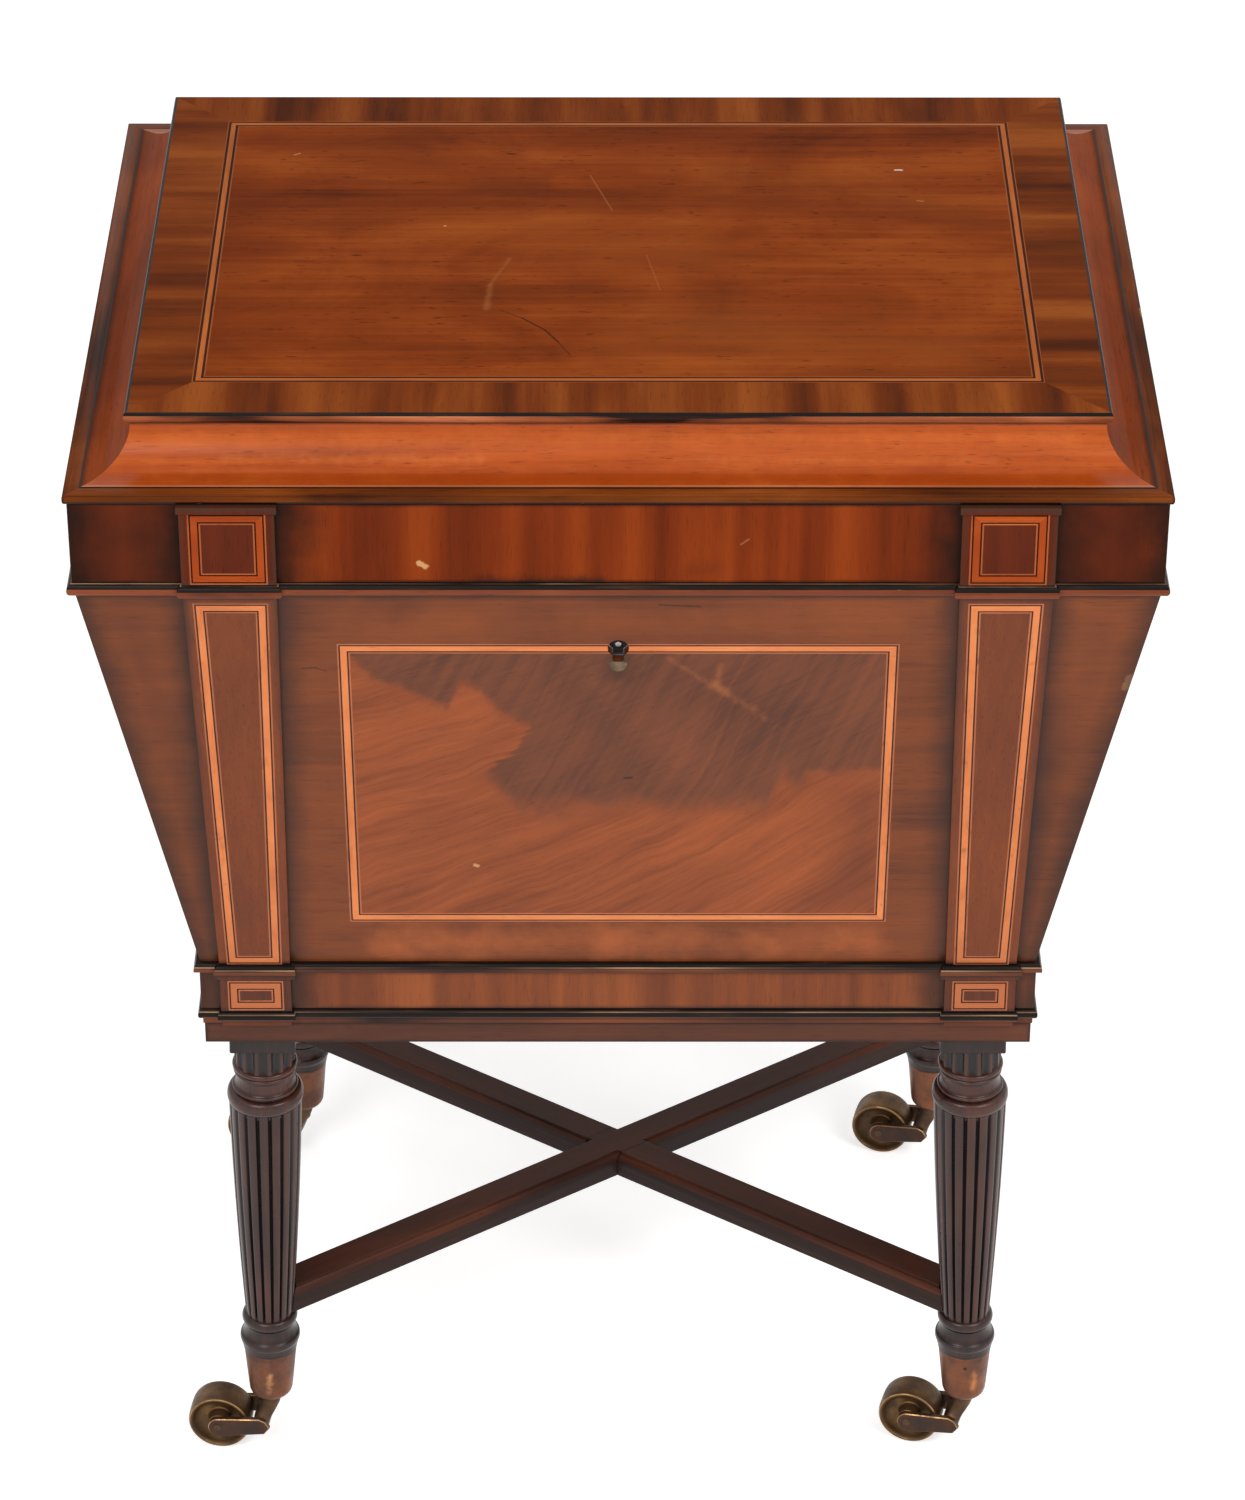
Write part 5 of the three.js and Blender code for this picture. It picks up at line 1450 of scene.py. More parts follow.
@dataclass(frozen=True)
class CarvedStretch(Grown):
    """A tapering turned stretch with reeds or flutes cut round it, grown by a geometry tree.

    The swell is how far its middle stands out over the taper, and a runout the length over which
    the carving fades at that end.
    """

    foot: float
    top: float
    foot_radius: float
    top_radius: float
    swell: float
    count: int
    depth: float
    carving: Carving
    foot_runout: float
    top_runout: float
    steps: int = 30

    @staticmethod
    def build() -> Grower:
        """Builds the tree: a cylinder whose points move in by the carving's depth.

        Returns:
            The tree.
        """
        number = "NodeSocketFloat"
        grower = Grower("carved stretch", {
            "Foot": number, "Top": number, "Foot Radius": number, "Top Radius": number,
            "Swell": number, "Count": "NodeSocketInt", "Depth": number, "Flutes": number,
            "Foot Runout": number, "Top Runout": number, "Steps": "NodeSocketInt",
            "Finish": "NodeSocketMaterial"})
        graph, given = grower.graph, grower.given
        cylinder = graph.output("GeometryNodeMeshCylinder", "Mesh", {"fill_type": "NGON"}, {
            "Vertices": given("Count") * POINTS_EACH, "Side Segments": given("Steps"),
            "Radius": 1.0, "Depth": 1.0})
        x, y, level = graph.separate(graph.output("GeometryNodeInputPosition", "Position"))
        share = 0.5 - graph.maths("COSINE", (level + 0.5) * math.pi) * 0.5
        length = given("Top") - given("Foot")
        radius = (given("Foot Radius") + (given("Top Radius") - given("Foot Radius")) * share
                  + given("Swell") * share * (1.0 - share) * 4.0)
        turn = graph.maths("ARCTAN2", y, x) / math.tau * given("Count")
        off = graph.maths("ABSOLUTE", graph.maths("FRACT", turn + 1000.0) - 0.5)
        # A reed is a low dome with a steep groove beside it; a flute is a round hollow that leaves
        # a third of its share of the turn as an arris
        groove = graph.ease(off, 0.3, 0.46) * 0.88 + off * off * 0.48
        flute = graph.maths("SQRT", (1.0 - (off * 2.9) ** 2.0).most(0.0))
        cut = groove * (1.0 - given("Flutes")) + flute * given("Flutes")
        low = (share * length / given("Foot Runout")).least(1.0)
        high = ((1.0 - share) * length / given("Top Runout")).least(1.0)
        fade = graph.maths("SQRT", low) * graph.maths("SQRT", high)
        reach = radius - given("Depth") * cut * fade
        angle = graph.maths("ARCTAN2", y, x)
        moved = graph.output("GeometryNodeSetPosition", "Geometry", values={
            "Geometry": cylinder, "Position": graph.combine(
                graph.maths("COSINE", angle) * reach, graph.maths("SINE", angle) * reach,
                given("Foot") + share * length)})
        # A painted highlight on the ends of the flutes at the neck's foot, kept as the carving's
        # second number
        lit = graph.ease(share * length, 0.0042, 0.0012) * cut * given("Flutes")
        stored = graph.output("GeometryNodeStoreNamedAttribute", "Geometry", {
            "data_type": "FLOAT_VECTOR", "domain": "POINT"}, {
            "Geometry": moved, "Name": "carving",
            "Value": graph.combine(cut * fade, lit, 0.0)})
        grower.close(stored, given("Finish"))
        return grower

    def shape(self, finish: Finish) -> Shape:
        """Grows the stretch about Z.

        Args:
            finish: its finish.

        Returns:
            The stretch.
        """
        mesh = self.grower().grow({
            "Foot": self.foot * MM, "Top": self.top * MM, "Foot Radius": self.foot_radius * MM,
            "Top Radius": self.top_radius * MM, "Swell": self.swell * MM, "Count": self.count,
            "Depth": self.depth * MM, "Flutes": self.carving.value,
            "Foot Runout": self.foot_runout * MM, "Top Runout": self.top_runout * MM,
            "Steps": self.steps, "Finish": finish.material()})
        return Shape().take(mesh, finish)


@dataclass
class Screws(Grown):
    """Countersunk slotted screw heads, grown by a geometry tree and laid flush in a plate."""

    radius: float = 2.5
    depth: float = 0.7
    proud: float = 0.13
    slot_width: float = 0.7
    slot_depth: float = 0.11
    seed: int = 4

    @staticmethod
    def build() -> Grower:
        """Builds the tree: a slotted head at each point, turned its own way in its hole.

        Returns:
            The tree.
        """
        number = "NodeSocketFloat"
        grower = Grower("screw heads", {
            "Radius": number, "Depth": number, "Slot Width": number, "Slot Depth": number,
            "Facing": "NodeSocketVector", "Seed": "NodeSocketInt",
            "Finish": "NodeSocketMaterial"})
        graph, given = grower.graph, grower.given
        top = given("Depth") * 0.5
        disc = graph.output("GeometryNodeMeshCylinder", "Mesh", {"fill_type": "NGON"}, {
            "Vertices": 28, "Radius": given("Radius"), "Depth": given("Depth")})
        bar = graph.output("GeometryNodeMeshCube", "Mesh", values={"Size": graph.combine(
            given("Radius") * 2.4, given("Slot Width"), given("Slot Depth") * 2.0)})
        raised = graph.output("GeometryNodeTransform", "Geometry", values={
            "Geometry": bar, "Translation": graph.combine(0.0, 0.0, top)})
        head = graph.output("GeometryNodeMeshBoolean", "Mesh", {"operation": "DIFFERENCE"}, {
            "Mesh 1": disc, "Mesh 2": raised})
        _, _, level = graph.separate(graph.output("GeometryNodeInputPosition", "Position"))
        low = graph.maths("LESS_THAN", level, top - given("Slot Depth") * 0.5)
        high = graph.maths("GREATER_THAN", level, 0.0)
        stored = graph.output("GeometryNodeStoreNamedAttribute", "Geometry", {
            "data_type": "FLOAT_VECTOR", "domain": "POINT"}, {
            "Geometry": head, "Name": "carving", "Value": graph.combine(low * high, 0.0, 0.0)})
        spin = graph.output("FunctionNodeRandomValue", "Value_001", {"data_type": "FLOAT"}, {
            "Min_001": 0.0, "Max_001": math.pi, "Seed": given("Seed")})
        own = graph.output("FunctionNodeEulerToRotation", "Rotation",
                           values={"Euler": graph.combine(0.0, 0.0, spin)})
        facing = graph.output("FunctionNodeEulerToRotation", "Rotation",
                              values={"Euler": given("Facing")})
        turn = graph.output("FunctionNodeRotateRotation", "Rotation",
                            {"rotation_space": "GLOBAL"}, {"Rotation": own, "Rotate By": facing})
        heads = graph.output("GeometryNodeInstanceOnPoints", "Instances", values={
            "Points": given("Geometry"), "Instance": stored, "Rotation": turn})
        grower.close(heads, given("Finish"))
        return grower

    def laid(self, places: Sequence[Point], facing: Point, finish: Finish) -> Shape:
        """Lays a head at each place on a plate.

        Args:
            places: points on the plate's face.
            facing: the turn, in radians about X, Y and Z, from upwards to the way they face.
            finish: the heads' finish.

        Returns:
            The heads, as a shape.
        """
        way = Euler(facing).to_matrix() @ Vector((0, 0, self.proud - self.depth / 2))
        seeds = bpy.data.meshes.new("screw places")
        seeds.from_pydata([(Vector(place) + way) * MM for place in places], [], [])
        mesh = self.grower().grow({
            "Radius": self.radius * MM, "Depth": self.depth * MM,
            "Slot Width": self.slot_width * MM, "Slot Depth": self.slot_depth * MM,
            "Facing": facing, "Seed": self.seed, "Finish": finish.material()}, seeds)
        return Shape().take(mesh, finish)


# Sizes shared by the lid, the body and the stand

LEDGE_WIDTH = 560.0
LEDGE_DEPTH = 428.0
BLOCK_CENTRE = 197.6
BLOCK_PROUD = 3.0
SIDES = ((-1, "left"), (1, "right"))


def rectangle(inset: float, z: float) -> Ring:
    """A level rectangle at a distance in from the ledge's outer edge."""
    x, y = LEDGE_WIDTH / 2 - inset, LEDGE_DEPTH / 2 - inset
    return [(-x, -y, z), (x, -y, z), (x, y, z), (-x, y, z)]


def broken(inset: float, z: float, proud: float, face: float, half: float) -> Ring:
    """The same rectangle, stepping forward on its front round two blocks.

    Args:
        inset: the distance in from the ledge's edge.
        z: the height.
        proud: how far the steps stand forward.
        face: the inset of the face that carries the blocks.
        half: half a block's width.

    Returns:
        The ring's twelve points.
    """
    x, y = LEDGE_WIDTH / 2 - inset, LEDGE_DEPTH / 2 - inset
    reach = max(half + face - inset, half / 2)
    steps: Ring = []
    for centre in (-BLOCK_CENTRE, BLOCK_CENTRE):
        steps += [(centre - reach, -y, z), (centre - reach, -y - proud, z),
                  (centre + reach, -y - proud, z), (centre + reach, -y, z)]
    return [(-x, -y, z), *steps, (x, -y, z), (x, y, z), (-x, y, z)]


def stepped(profile: Sequence[Flat], face: float, half: float) -> list[Ring]:
    """The rings of a moulding that steps forward round two blocks, but not at its inner edges.

    Args:
        profile: an inset from the ledge's edge and a height for each ring.
        face: the inset of the face that carries the blocks.
        half: half a block's width.

    Returns:
        The rings.
    """
    ends = (0, len(profile) - 1)
    return [broken(inset, z, 0.0 if number in ends else BLOCK_PROUD, face, half)
            for number, (inset, z) in enumerate(profile)]


def frame_corners(foot: float, head: float, foot_half: float, head_half: float | None = None,
                  middle: float = 0.0) -> list[Flat]:
    """The corners of an upright frame, anticlockwise from the lower left.

    Args:
        foot: the height of its foot.
        head: the height of its head.
        foot_half: half its width at its foot.
        head_half: the same at its head, where it isn't the same.
        middle: the place of its middle across the face.

    Returns:
        The four corners.
    """
    wide = foot_half if head_half is None else head_half
    return [(middle - foot_half, foot), (middle + foot_half, foot), (middle + wide, head),
            (middle - wide, head)]


def bays_of(foot_inset: float, head_inset: float, foot_half: float, head_half: float,
            foot: float, head: float) -> Bays:
    """The bays of a front board beside and between its two blocks or pilasters.

    Args:
        foot_inset: the board's inset from the ledge's end at its foot.
        head_inset: the same at its head.
        foot_half: half the block's width at the board's foot.
        head_half: the same at its head.
        foot: the height of the foot.
        head: the height of the head.

    Returns:
        The five bays.
    """
    low, high = LEDGE_WIDTH / 2 - foot_inset, LEDGE_WIDTH / 2 - head_inset
    half = [(low, high), (BLOCK_CENTRE + foot_half, BLOCK_CENTRE + head_half),
            (BLOCK_CENTRE - foot_half, BLOCK_CENTRE - head_half)]
    left = [(-x, -y) for x, y in half]
    return Bays((*left, *reversed(half)), foot, head)


@dataclass(frozen=True)
class Plane:
    """A flat face that carries inlay: a point on it, its rightward and upward directions."""

    origin: Point
    right: Point
    up: Point

    def at(self, across: float, rise: float, lift: float) -> Point:
        """The point at two distances on the face and a height off it."""
        right, up = Vector(self.right), Vector(self.up)
        return tuple(Vector(self.origin) + right * across + up * rise + right.cross(up) * lift)


@dataclass(frozen=True)
class Banding:
    """A mitred frame of inlaid strips, each with its width and finish, from the outside in."""

    strips: tuple[tuple[float, Finish], ...]
    lift: float = 0.06
    depth: float = 0.4

    def onto(self, shape: Shape, plane: Plane, corners: Sequence[Flat]) -> None:
        """Adds the frame to a shape.

        Args:
            shape: the shape.
            plane: the face that carries the frame.
            corners: the four corners of the frame's outer edge on that face, anticlockwise.
        """
        inset, insets = 0.0, [0.0]
        for width, _ in self.strips:
            inset += width
            insets.append(inset)
        flats = [offset(corners, inset) for inset in insets]
        rings = [[plane.at(x, y, -self.depth) for x, y in flats[0]]]
        rings += [[plane.at(x, y, self.lift) for x, y in flat] for flat in flats]
        rings += [[plane.at(x, y, -self.depth) for x, y in flats[-1]]]
        finishes = [finish for _, finish in self.strips]
        outer, inner = finishes[0], finishes[-1]
        shape.loft(rings, [Course(finish) for finish in (outer, *finishes, inner, inner)])


def offset(corners: Sequence[Flat], inset: float) -> list[Flat]:
    """Moves each side of a four-sided figure inwards.

    Args:
        corners: its corners, anticlockwise.
        inset: how far the sides move.

    Returns:
        The new corners.
    """
    lines = []
    for i in range(4):
        (ax, ay), (bx, by) = corners[i], corners[(i + 1) % 4]
        length = math.hypot(bx - ax, by - ay)
        normal = (-(by - ay) / length, (bx - ax) / length)
        lines.append((normal, normal[0] * ax + normal[1] * ay + inset))
    out = []
    for i in range(4):
        (a, b), c = lines[i - 1]
        (d, e), f = lines[i]
        size = a * e - b * d
        out.append(((c * e - b * f) / size, (a * f - c * d) / size))
    return out


def banded(name: str, body: str, banding: Banding, plane: Plane, corners: Sequence[Flat],
           cutter: bpy.types.Mesh | None = None) -> None:
    """Makes a piece of a banding alone.

    Args:
        name: the piece's name.
        body: the body that it moves with.
        banding: the banding.
        plane: the face that carries it.
        corners: the four corners of its outer edge on that face, anticlockwise.
        cutter: a closed mesh that is cut out, where there is one.
    """
    shape = Shape()
    banding.onto(shape, plane, corners)
    mesh = shape.mesh(name)
    seat(name, cut_out(mesh, cutter) if cutter else mesh, body, "mahogany")


FRONT_BANDING = Banding(((0.8, PALE_LINE), (0.8, DARK_LINE), (3.4, SATINWOOD), (0.8, DARK_LINE),
                         (0.8, PALE_LINE)))
RED_BANDING = Banding(((0.8, LID_LINE), (0.8, LID_DARK_LINE), (3.4, RED_SATINWOOD),
                       (0.8, LID_DARK_LINE), (0.8, LID_LINE)))
TOP_BANDING = Banding(((0.5, TOP_LINE), (1.3, LID_DARK_LINE), (2.6, TOP_SATINWOOD),
                       (1.3, LID_DARK_LINE), (0.7, TOP_LINE)))


@dataclass
class Camera:
    """The camera at the photograph's viewing angle."""

    place: Point = (-2.1, -2482.4, 1985.4)
    pitch: float = 32.69
    yaw: float = 0.11
    roll: float = -0.08
    lens: float = 124.829

    def make(self) -> None:
        """Makes the camera and gives it to the scene."""
        data = bpy.data.cameras.new("camera")
        data.lens = self.lens
        data.clip_end = 50
        camera = bpy.data.objects.new("camera", data)
        bpy.context.scene.collection.objects.link(camera)
        turn = (Matrix.Rotation(math.radians(-self.yaw), 4, "Z")
                @ Matrix.Rotation(math.radians(90 - self.pitch), 4, "X")
                @ Matrix.Rotation(math.radians(-self.roll), 4, "Z"))
        camera.matrix_world = Matrix.Translation(Vector(self.place) * MM) @ turn
        bpy.context.scene.camera = camera


@dataclass
class Studio:
    """A pale floor, a white surround and two soft lamps in front."""

    floor_size: float = 12000.0
    floor_drop: float = 0.2
    surround: float = 0.5
    lamps: tuple[tuple[str, float, float], ...] = (("left lamp", -28, 38), ("right lamp", 42, 40))
    lamp_size: float = 1.2
    lamp_power: float = 31.0
    lamp_reach: float = 3.0
    lamp_aim: float = 0.4

    def make(self) -> None:
        """Makes the floor, the lamps and the surround, and sets the view."""
        half, z = self.floor_size / 2, -self.floor_drop
        floor = Shape().add([(-half, -half, z), (half, -half, z), (half, half, z),
                             (-half, half, z)], [(0, 1, 2, 3)], Paper())
        sheet = bpy.data.objects.new("floor", floor.mesh("floor"))
        bpy.context.scene.collection.objects.link(sheet)
        for name, azimuth, elevation in self.lamps:
            self.lamp(name, azimuth, elevation)
        self.world()
        bpy.context.scene.view_settings.view_transform = "Standard"

    def lamp(self, name: str, azimuth: float, elevation: float) -> None:
        """Hangs a square soft lamp, aimed at the object's middle.

        Args:
            name: the lamp's name.
            azimuth: its angle to the right of the front, in degrees.
            elevation: its angle over the level, in degrees.
        """
        data = bpy.data.lights.new(name, "AREA")
        data.shape = "SQUARE"
        data.size = self.lamp_size
        data.energy = self.lamp_power
        lamp = bpy.data.objects.new(name, data)
        bpy.context.scene.collection.objects.link(lamp)
        turn, rise = math.radians(azimuth), math.radians(elevation)
        way = Vector((math.sin(turn) * math.cos(rise), -math.cos(turn) * math.cos(rise),
                      math.sin(rise)))
        lamp.location = Vector((0, 0, self.lamp_aim)) + way * self.lamp_reach
        lamp.rotation_euler = (-way).to_track_quat("-Z", "Y").to_euler()

    def world(self) -> None:
        """Lights the scene evenly and shows white to the camera and to polished surfaces."""
        world = bpy.data.worlds.new("surround")
        world.use_nodes = True
        world.node_tree.nodes.clear()
        graph = Graph(world.node_tree)
        both = graph.node("ShaderNodeMixShader", values={"Fac": graph.looked_at()})
        for place, strength in ((1, self.surround), (2, 1.0)):
            light = graph.output("ShaderNodeBackground", "Background",
                                 values={"Color": WHITE, "Strength": strength})
            graph.tree.links.new(light.socket, both.inputs[place])
        graph.node("ShaderNodeOutputWorld", values={"Surface": Value(graph, both.outputs[0])})
        bpy.context.scene.world = world


@dataclass
class Lid:
    """The lid: an inlaid top board, a cove, a ledge, a frieze box with blocks, and a bead.

    A profile gives an inset from the ledge's edge and a height over the piece's foot.
    """

    board_foot: float = 705.0
    nosing: tuple[Flat, ...] = ((33.6, 0.0), (32.0, 0.5), (30.8, 1.6), (30.1, 3.0), (30.0, 4.0),
                                (30.2, 5.2), (30.5, 6.2), (31.0, 7.0))
    black_edge: float = 1.2
    border: float = 31.6
    cove_foot: float = 681.3
    cove_top: float = 704.7
    cove_inset: float = 9.0
    cove_reach: float = 24.0
    cove_inner: float = 58.0
    cove_steps: int = 20
    ledge_foot: float = 675.6
    ledge_profile: tuple[Flat, ...] = ((58.0, 0.0), (2.0, 0.0), (1.0, 0.3), (0.4, 0.9), (0.1, 1.9),
                                       (0.0, 2.5), (0.0, 4.2), (0.3, 5.0), (1.0, 5.4), (8.0, 5.4),
                                       (9.4, 5.4), (58.0, 5.4))
    frieze_foot: float = 629.3
    frieze_inset: float = 2.0
    board_thickness: float = 14.0
    block_half: float = 24.2
    block_shift: float = 0.7
    banding_foot: float = 629.9
    banding_head: float = 671.6
    banding_half: float = 19.8
    bead_top: float = 629.0
    bead_foot: float = 621.9
    bead_projection: float = 2.6
    body: str = "lid"

    def make(self) -> None:
        """Builds the lid's pieces."""
        self.top_board()
        self.cove()
        self.ledge()
        self.friezes()
        for side, name in SIDES:
            carry(f"lid_block_{name}", self.body, "mahogany", BLOCK_WOOD,
                  Lay(shift=side * self.block_shift))
        self.bead()
        self.block_bandings()

    def top_board(self) -> None:
        """The top board: nosing, crossbanded border and faded field round its stringing."""
        rings = [rectangle(inset, self.board_foot + rise) for inset, rise in self.nosing]
        courses = [Course(NOSING_WOOD)] * 5 + [Course(BLACK)] * 2
        strips = [(self.black_edge, Course(TOP_CROSSBAND, Run.ACROSS, BLACK)),
                  (self.border - self.black_edge, Course(TOP_CROSSBAND, Run.ACROSS)),
                  *((width, Course(finish)) for width, finish in TOP_BANDING.strips)]
        inset, rise = self.nosing[-1]
        for width, course in strips:
            inset += width
            rings.append(rectangle(inset, self.board_foot + rise))
            courses.append(course)
        shape = Shape().loft(rings, courses, Course(INNER_WOOD), Course(TOP_FIELD))
        seat("lid_top_board_veneered", shape.mesh("lid top"), self.body, "top_veneer",
             ["lid_top_board"])

    def cove(self) -> None:
        """The concave moulding between the ledge and the top board, mitred at its corners."""
        foot, height = self.cove_foot, self.cove_top - self.cove_foot
        turns = [math.pi / 2 * i / self.cove_steps for i in range(self.cove_steps + 1)]
        curve = [(self.cove_inset + self.cove_reach * math.sin(turn),
                  foot + height * (1 - math.cos(turn))) for turn in turns]
        outline = [(self.cove_inner, foot), *curve, (self.cove_inner, self.cove_top)]
        # The cove's short ends take the darker copy of its mahogany, which is painted shade
        lip, sweep = (Course(finish, ends=COVE_END_PAINTED_SHADE_WOOD) for finish in (PALE_LINE, COVE_WOOD))
        courses = [Course(INNER_WOOD), lip, *[sweep] * (self.cove_steps - 1),
                   *[Course(INNER_WOOD)] * 2]
        mould("lid_cove_moulding", "lid_cove", [rectangle(*point) for point in outline], courses,
              self.body, "cove_mahogany")

    def ledge(self) -> None:
        """The ledge's rosewood border with its black rounded edge."""
        rings = [rectangle(inset, self.ledge_foot + rise) for inset, rise in self.ledge_profile]
        courses = [Course(INNER_WOOD), *[Course(BLACK)] * 3, *[Course(LEDGE_WOOD)] * 5,
                   Course(BLACK), *[Course(INNER_WOOD)] * 2]
        mould("lid_ledge_border", "lid_ledge", rings, courses, self.body, "dark_mahogany")

    def friezes(self) -> None:
        """The four veneered boards under the ledge."""
        bays = bays_of(self.frieze_inset, self.frieze_inset, self.block_half, self.block_half,
                       self.frieze_foot, self.ledge_foot)
        endways = Lay(across=(0, 1, 0))
        for side, lay, parted in (("front", UPRIGHT, bays), ("back", UPRIGHT, None),
                                  ("left", endways, None), ("right", endways, None)):
            carry(f"lid_frieze_{side}", self.body, "mahogany", veneered, lay, bays=parted)

    def block_bandings(self) -> None:
        """The satinwood frames on the two blocks."""
        face = -(LEDGE_DEPTH / 2 - self.frieze_inset + BLOCK_PROUD)
        for side, name in SIDES:
            plane = Plane((side * BLOCK_CENTRE, face, 0), (1, 0, 0), (0, 0, 1))
            banded(f"lid_block_{name}_banding", self.body, RED_BANDING, plane,
                   frame_corners(self.banding_foot, self.banding_head, self.banding_half))

    def bead(self) -> None:
        """The black bead round the lid's lower edge, stepped forward under the blocks."""
        inner = self.frieze_inset + self.board_thickness
        crown = self.frieze_inset - self.bead_projection
        profile = [(inner, self.bead_foot),
                   *bulge(self.frieze_inset, crown, self.bead_foot, self.bead_top),
                   (inner, self.bead_top)]
        # The pale strip near the bead's crown is partly wear and partly a painted highlight
        courses = [Course(UNDER_WOOD), *[Course(LID_BEAD_WOOD)] * 6, *[Course(BLACK)] * 3,
                   Course(BEAD_EDGE_WEAR_AND_HIGHLIGHT), *[Course(BLACK)] * 2]
        mould("lid_bead_moulding", "lid_bead", stepped(profile, self.frieze_inset, self.block_half),
              courses, self.body, "ebonised_wood")


@dataclass
class Body:
    """The tapering box: canted boards, pilasters, base frieze, mouldings, liner and dividers.

    The bead's profile gives an inset from the ledge's edge and a height over the body's foot. A
    frame is the heights of its foot and its head and half its width, or half its width at each. A
    layer is the heights of a piece's back and front off the canted face.
    """

    top: float = 621.4
    foot: float = 353.9
    top_inset: float = 3.4
    foot_inset: float = 53.4
    pilaster_top_half: float = 24.0
    pilaster_foot_half: float = 19.3
    frieze_inset: float = 52.0
    frieze_foot: float = 328.1
    frieze_head: float = 353.6
    base_block_half: float = 19.4
    bead_profile: tuple[Flat, ...] = ((53.3, 0.0), (49.5, 0.0), (49.1, 0.2), (49.0, 0.7),
                                      (49.0, 1.8), (49.3, 2.2), (49.35, 2.5), (49.5, 3.5),
                                      (50.0, 4.5), (50.8, 5.2), (51.85, 5.55), (52.2, 5.55))
    key_centre: float = 585.3
    key_radius: float = 5.5
    slot_half: float = 3.0
    slot_foot: float = 576.3
    slot_ease: float = 1.2
    key_cut: Flat = (-9.0, 2.0)
    lining_centre: float = 575.6
    lining_size: Flat = (4.7, 6.2)
    lining_rise: float = 0.7
    lining_layer: Flat = (-0.5, 0.16)
    panel_foot: float = 395.7
    panel_head: float = 581.5
    panel_half: float = 138.4
    panel_lap: float = 0.4
    panel_layer: Flat = (-0.4, 0.03)
    centre_frame: tuple[float, float, float] = (389.5, 588.2, 144.7)
    pilaster_frame: tuple[float, float, float, float] = (359.4, 617.5, 15.0, 19.3)
    base_frame: tuple[float, float, float] = (329.0, 348.5, 15.2)
    liner_arris: float = 0.6
    body: str = "carcass"

    @property
    def cant(self) -> float:
        """The angle by which the boards lean out, in radians."""
        return math.atan((self.foot_inset - self.top_inset) / (self.top - self.foot))

    def face_plane(self, proud: float = 0.0) -> Plane:
        """The front's canted face, its origin at the top edge's middle."""
        up = (0.0, -math.sin(self.cant), math.cos(self.cant))
        return Plane((0, -(LEDGE_DEPTH / 2 - self.top_inset) - proud, self.top), (1, 0, 0), up)

    def down(self, z: float) -> float:
        """The distance on the canted face from its top edge to a height, as a negative rise."""
        return (z - self.top) / math.cos(self.cant)

    def make(self) -> None:
        """Builds the body's pieces."""
        for side, lay in (("back", CROSSWAYS), ("left", DEEPWAYS), ("right", DEEPWAYS)):
            carry(f"body_{side}", self.body, "mahogany", BODY_WOOD, lay)
        for _, side in SIDES:
            carry(f"pilaster_{side}", self.body, "mahogany", PILASTER_WOOD, UPRIGHT)
            carry(f"base_block_{side}", self.body, "mahogany", BASE_BLOCK_WOOD, UPRIGHT)
        bays = bays_of(self.frieze_inset, self.frieze_inset, self.base_block_half,
                       self.base_block_half, self.frieze_foot, self.frieze_head)
        carry("base_frieze", self.body, "mahogany", BASE_WOOD, UPRIGHT, bays=bays)
        self.front()
        self.moulding()
        self.keyhole_lining()
        for node, lay in (("body_bottom", CROSSWAYS), ("divider_long_1", CROSSWAYS),
                          ("divider_long_2", CROSSWAYS), ("divider_short_1", DEEPWAYS),
                          ("divider_short_2", DEEPWAYS), ("divider_short_3", DEEPWAYS)):
            carry(node, self.body, "inner_wood", INNER_WOOD, lay)
        carry("liner", self.body, "liner_metal", LEAD, UPRIGHT, self.liner_arris)
        self.panel()
        self.bandings()

    def layered(self, outline: Sequence[Flat], layer: Flat, finish: Finish) -> Shape:
        """A flat shape on the canted face.

        Args:
            outline: its outline across and up the face.
            layer: the heights of its back and its front off the face.
            finish: its finish.

        Returns:
            The shape.
        """
        plane, course = self.face_plane(), Course(finish)
        rings = [[plane.at(x, y, lift) for x, y in outline] for lift in layer]
        return Shape().loft(rings, [course], course, course)

    def keyhole(self) -> bpy.types.Mesh:
        """Shapes what cuts the keyhole: a round head over a slot, right through the board.

        Returns:
            The solid that is cut out.
        """
        radius, half, ease = self.key_radius, self.slot_half, self.slot_ease
        centre, foot = self.down(self.key_centre), self.down(self.slot_foot)
        start = math.asin(half / radius)
        turns = np.linspace(start - math.pi / 2, 1.5 * math.pi - start, 41)
        outline = [(radius * math.cos(turn), centre + radius * math.sin(turn)) for turn in turns]
        outline += [(-half, foot + ease), (ease - half, foot), (half - ease, foot),
                    (half, foot + ease)]
        return self.layered(outline, self.key_cut, KEYHOLE_WOOD).mesh("keyhole")

    def front(self) -> None:
        """The front board, darkened beside the pilasters and bored for the key."""
        bays = bays_of(self.foot_inset, self.top_inset, self.pilaster_foot_half,
                       self.pilaster_top_half, self.foot, self.top)
        shape = carried("body_front", BODY_WOOD, CROSSWAYS, bays, self.keyhole())
        seat("body_front_board", shape.mesh("front board"), self.body, "mahogany", ["body_front"])

    def keyhole_lining(self) -> None:
        """The worn foot of the keyhole's brass lining, let in under the slot."""
        (half, drop), centre = self.lining_size, self.down(self.lining_centre)
        outline = [(half * math.cos(turn), centre + drop * math.sin(turn))
                   for turn in np.linspace(math.pi, 2 * math.pi, 17)]
        outline += [(side * self.slot_half, centre + self.lining_rise) for side in (1, -1)]
        shape = self.layered(outline, self.lining_layer, LINING_BRASS)
        seat("keyhole_lining", shape.mesh("keyhole lining"), self.body, "antique_brass")

    def moulding(self) -> None:
        """The moulding round the body's foot: a black bead on a brown lip."""
        profile = [(inset, self.foot + rise) for inset, rise in self.bead_profile]
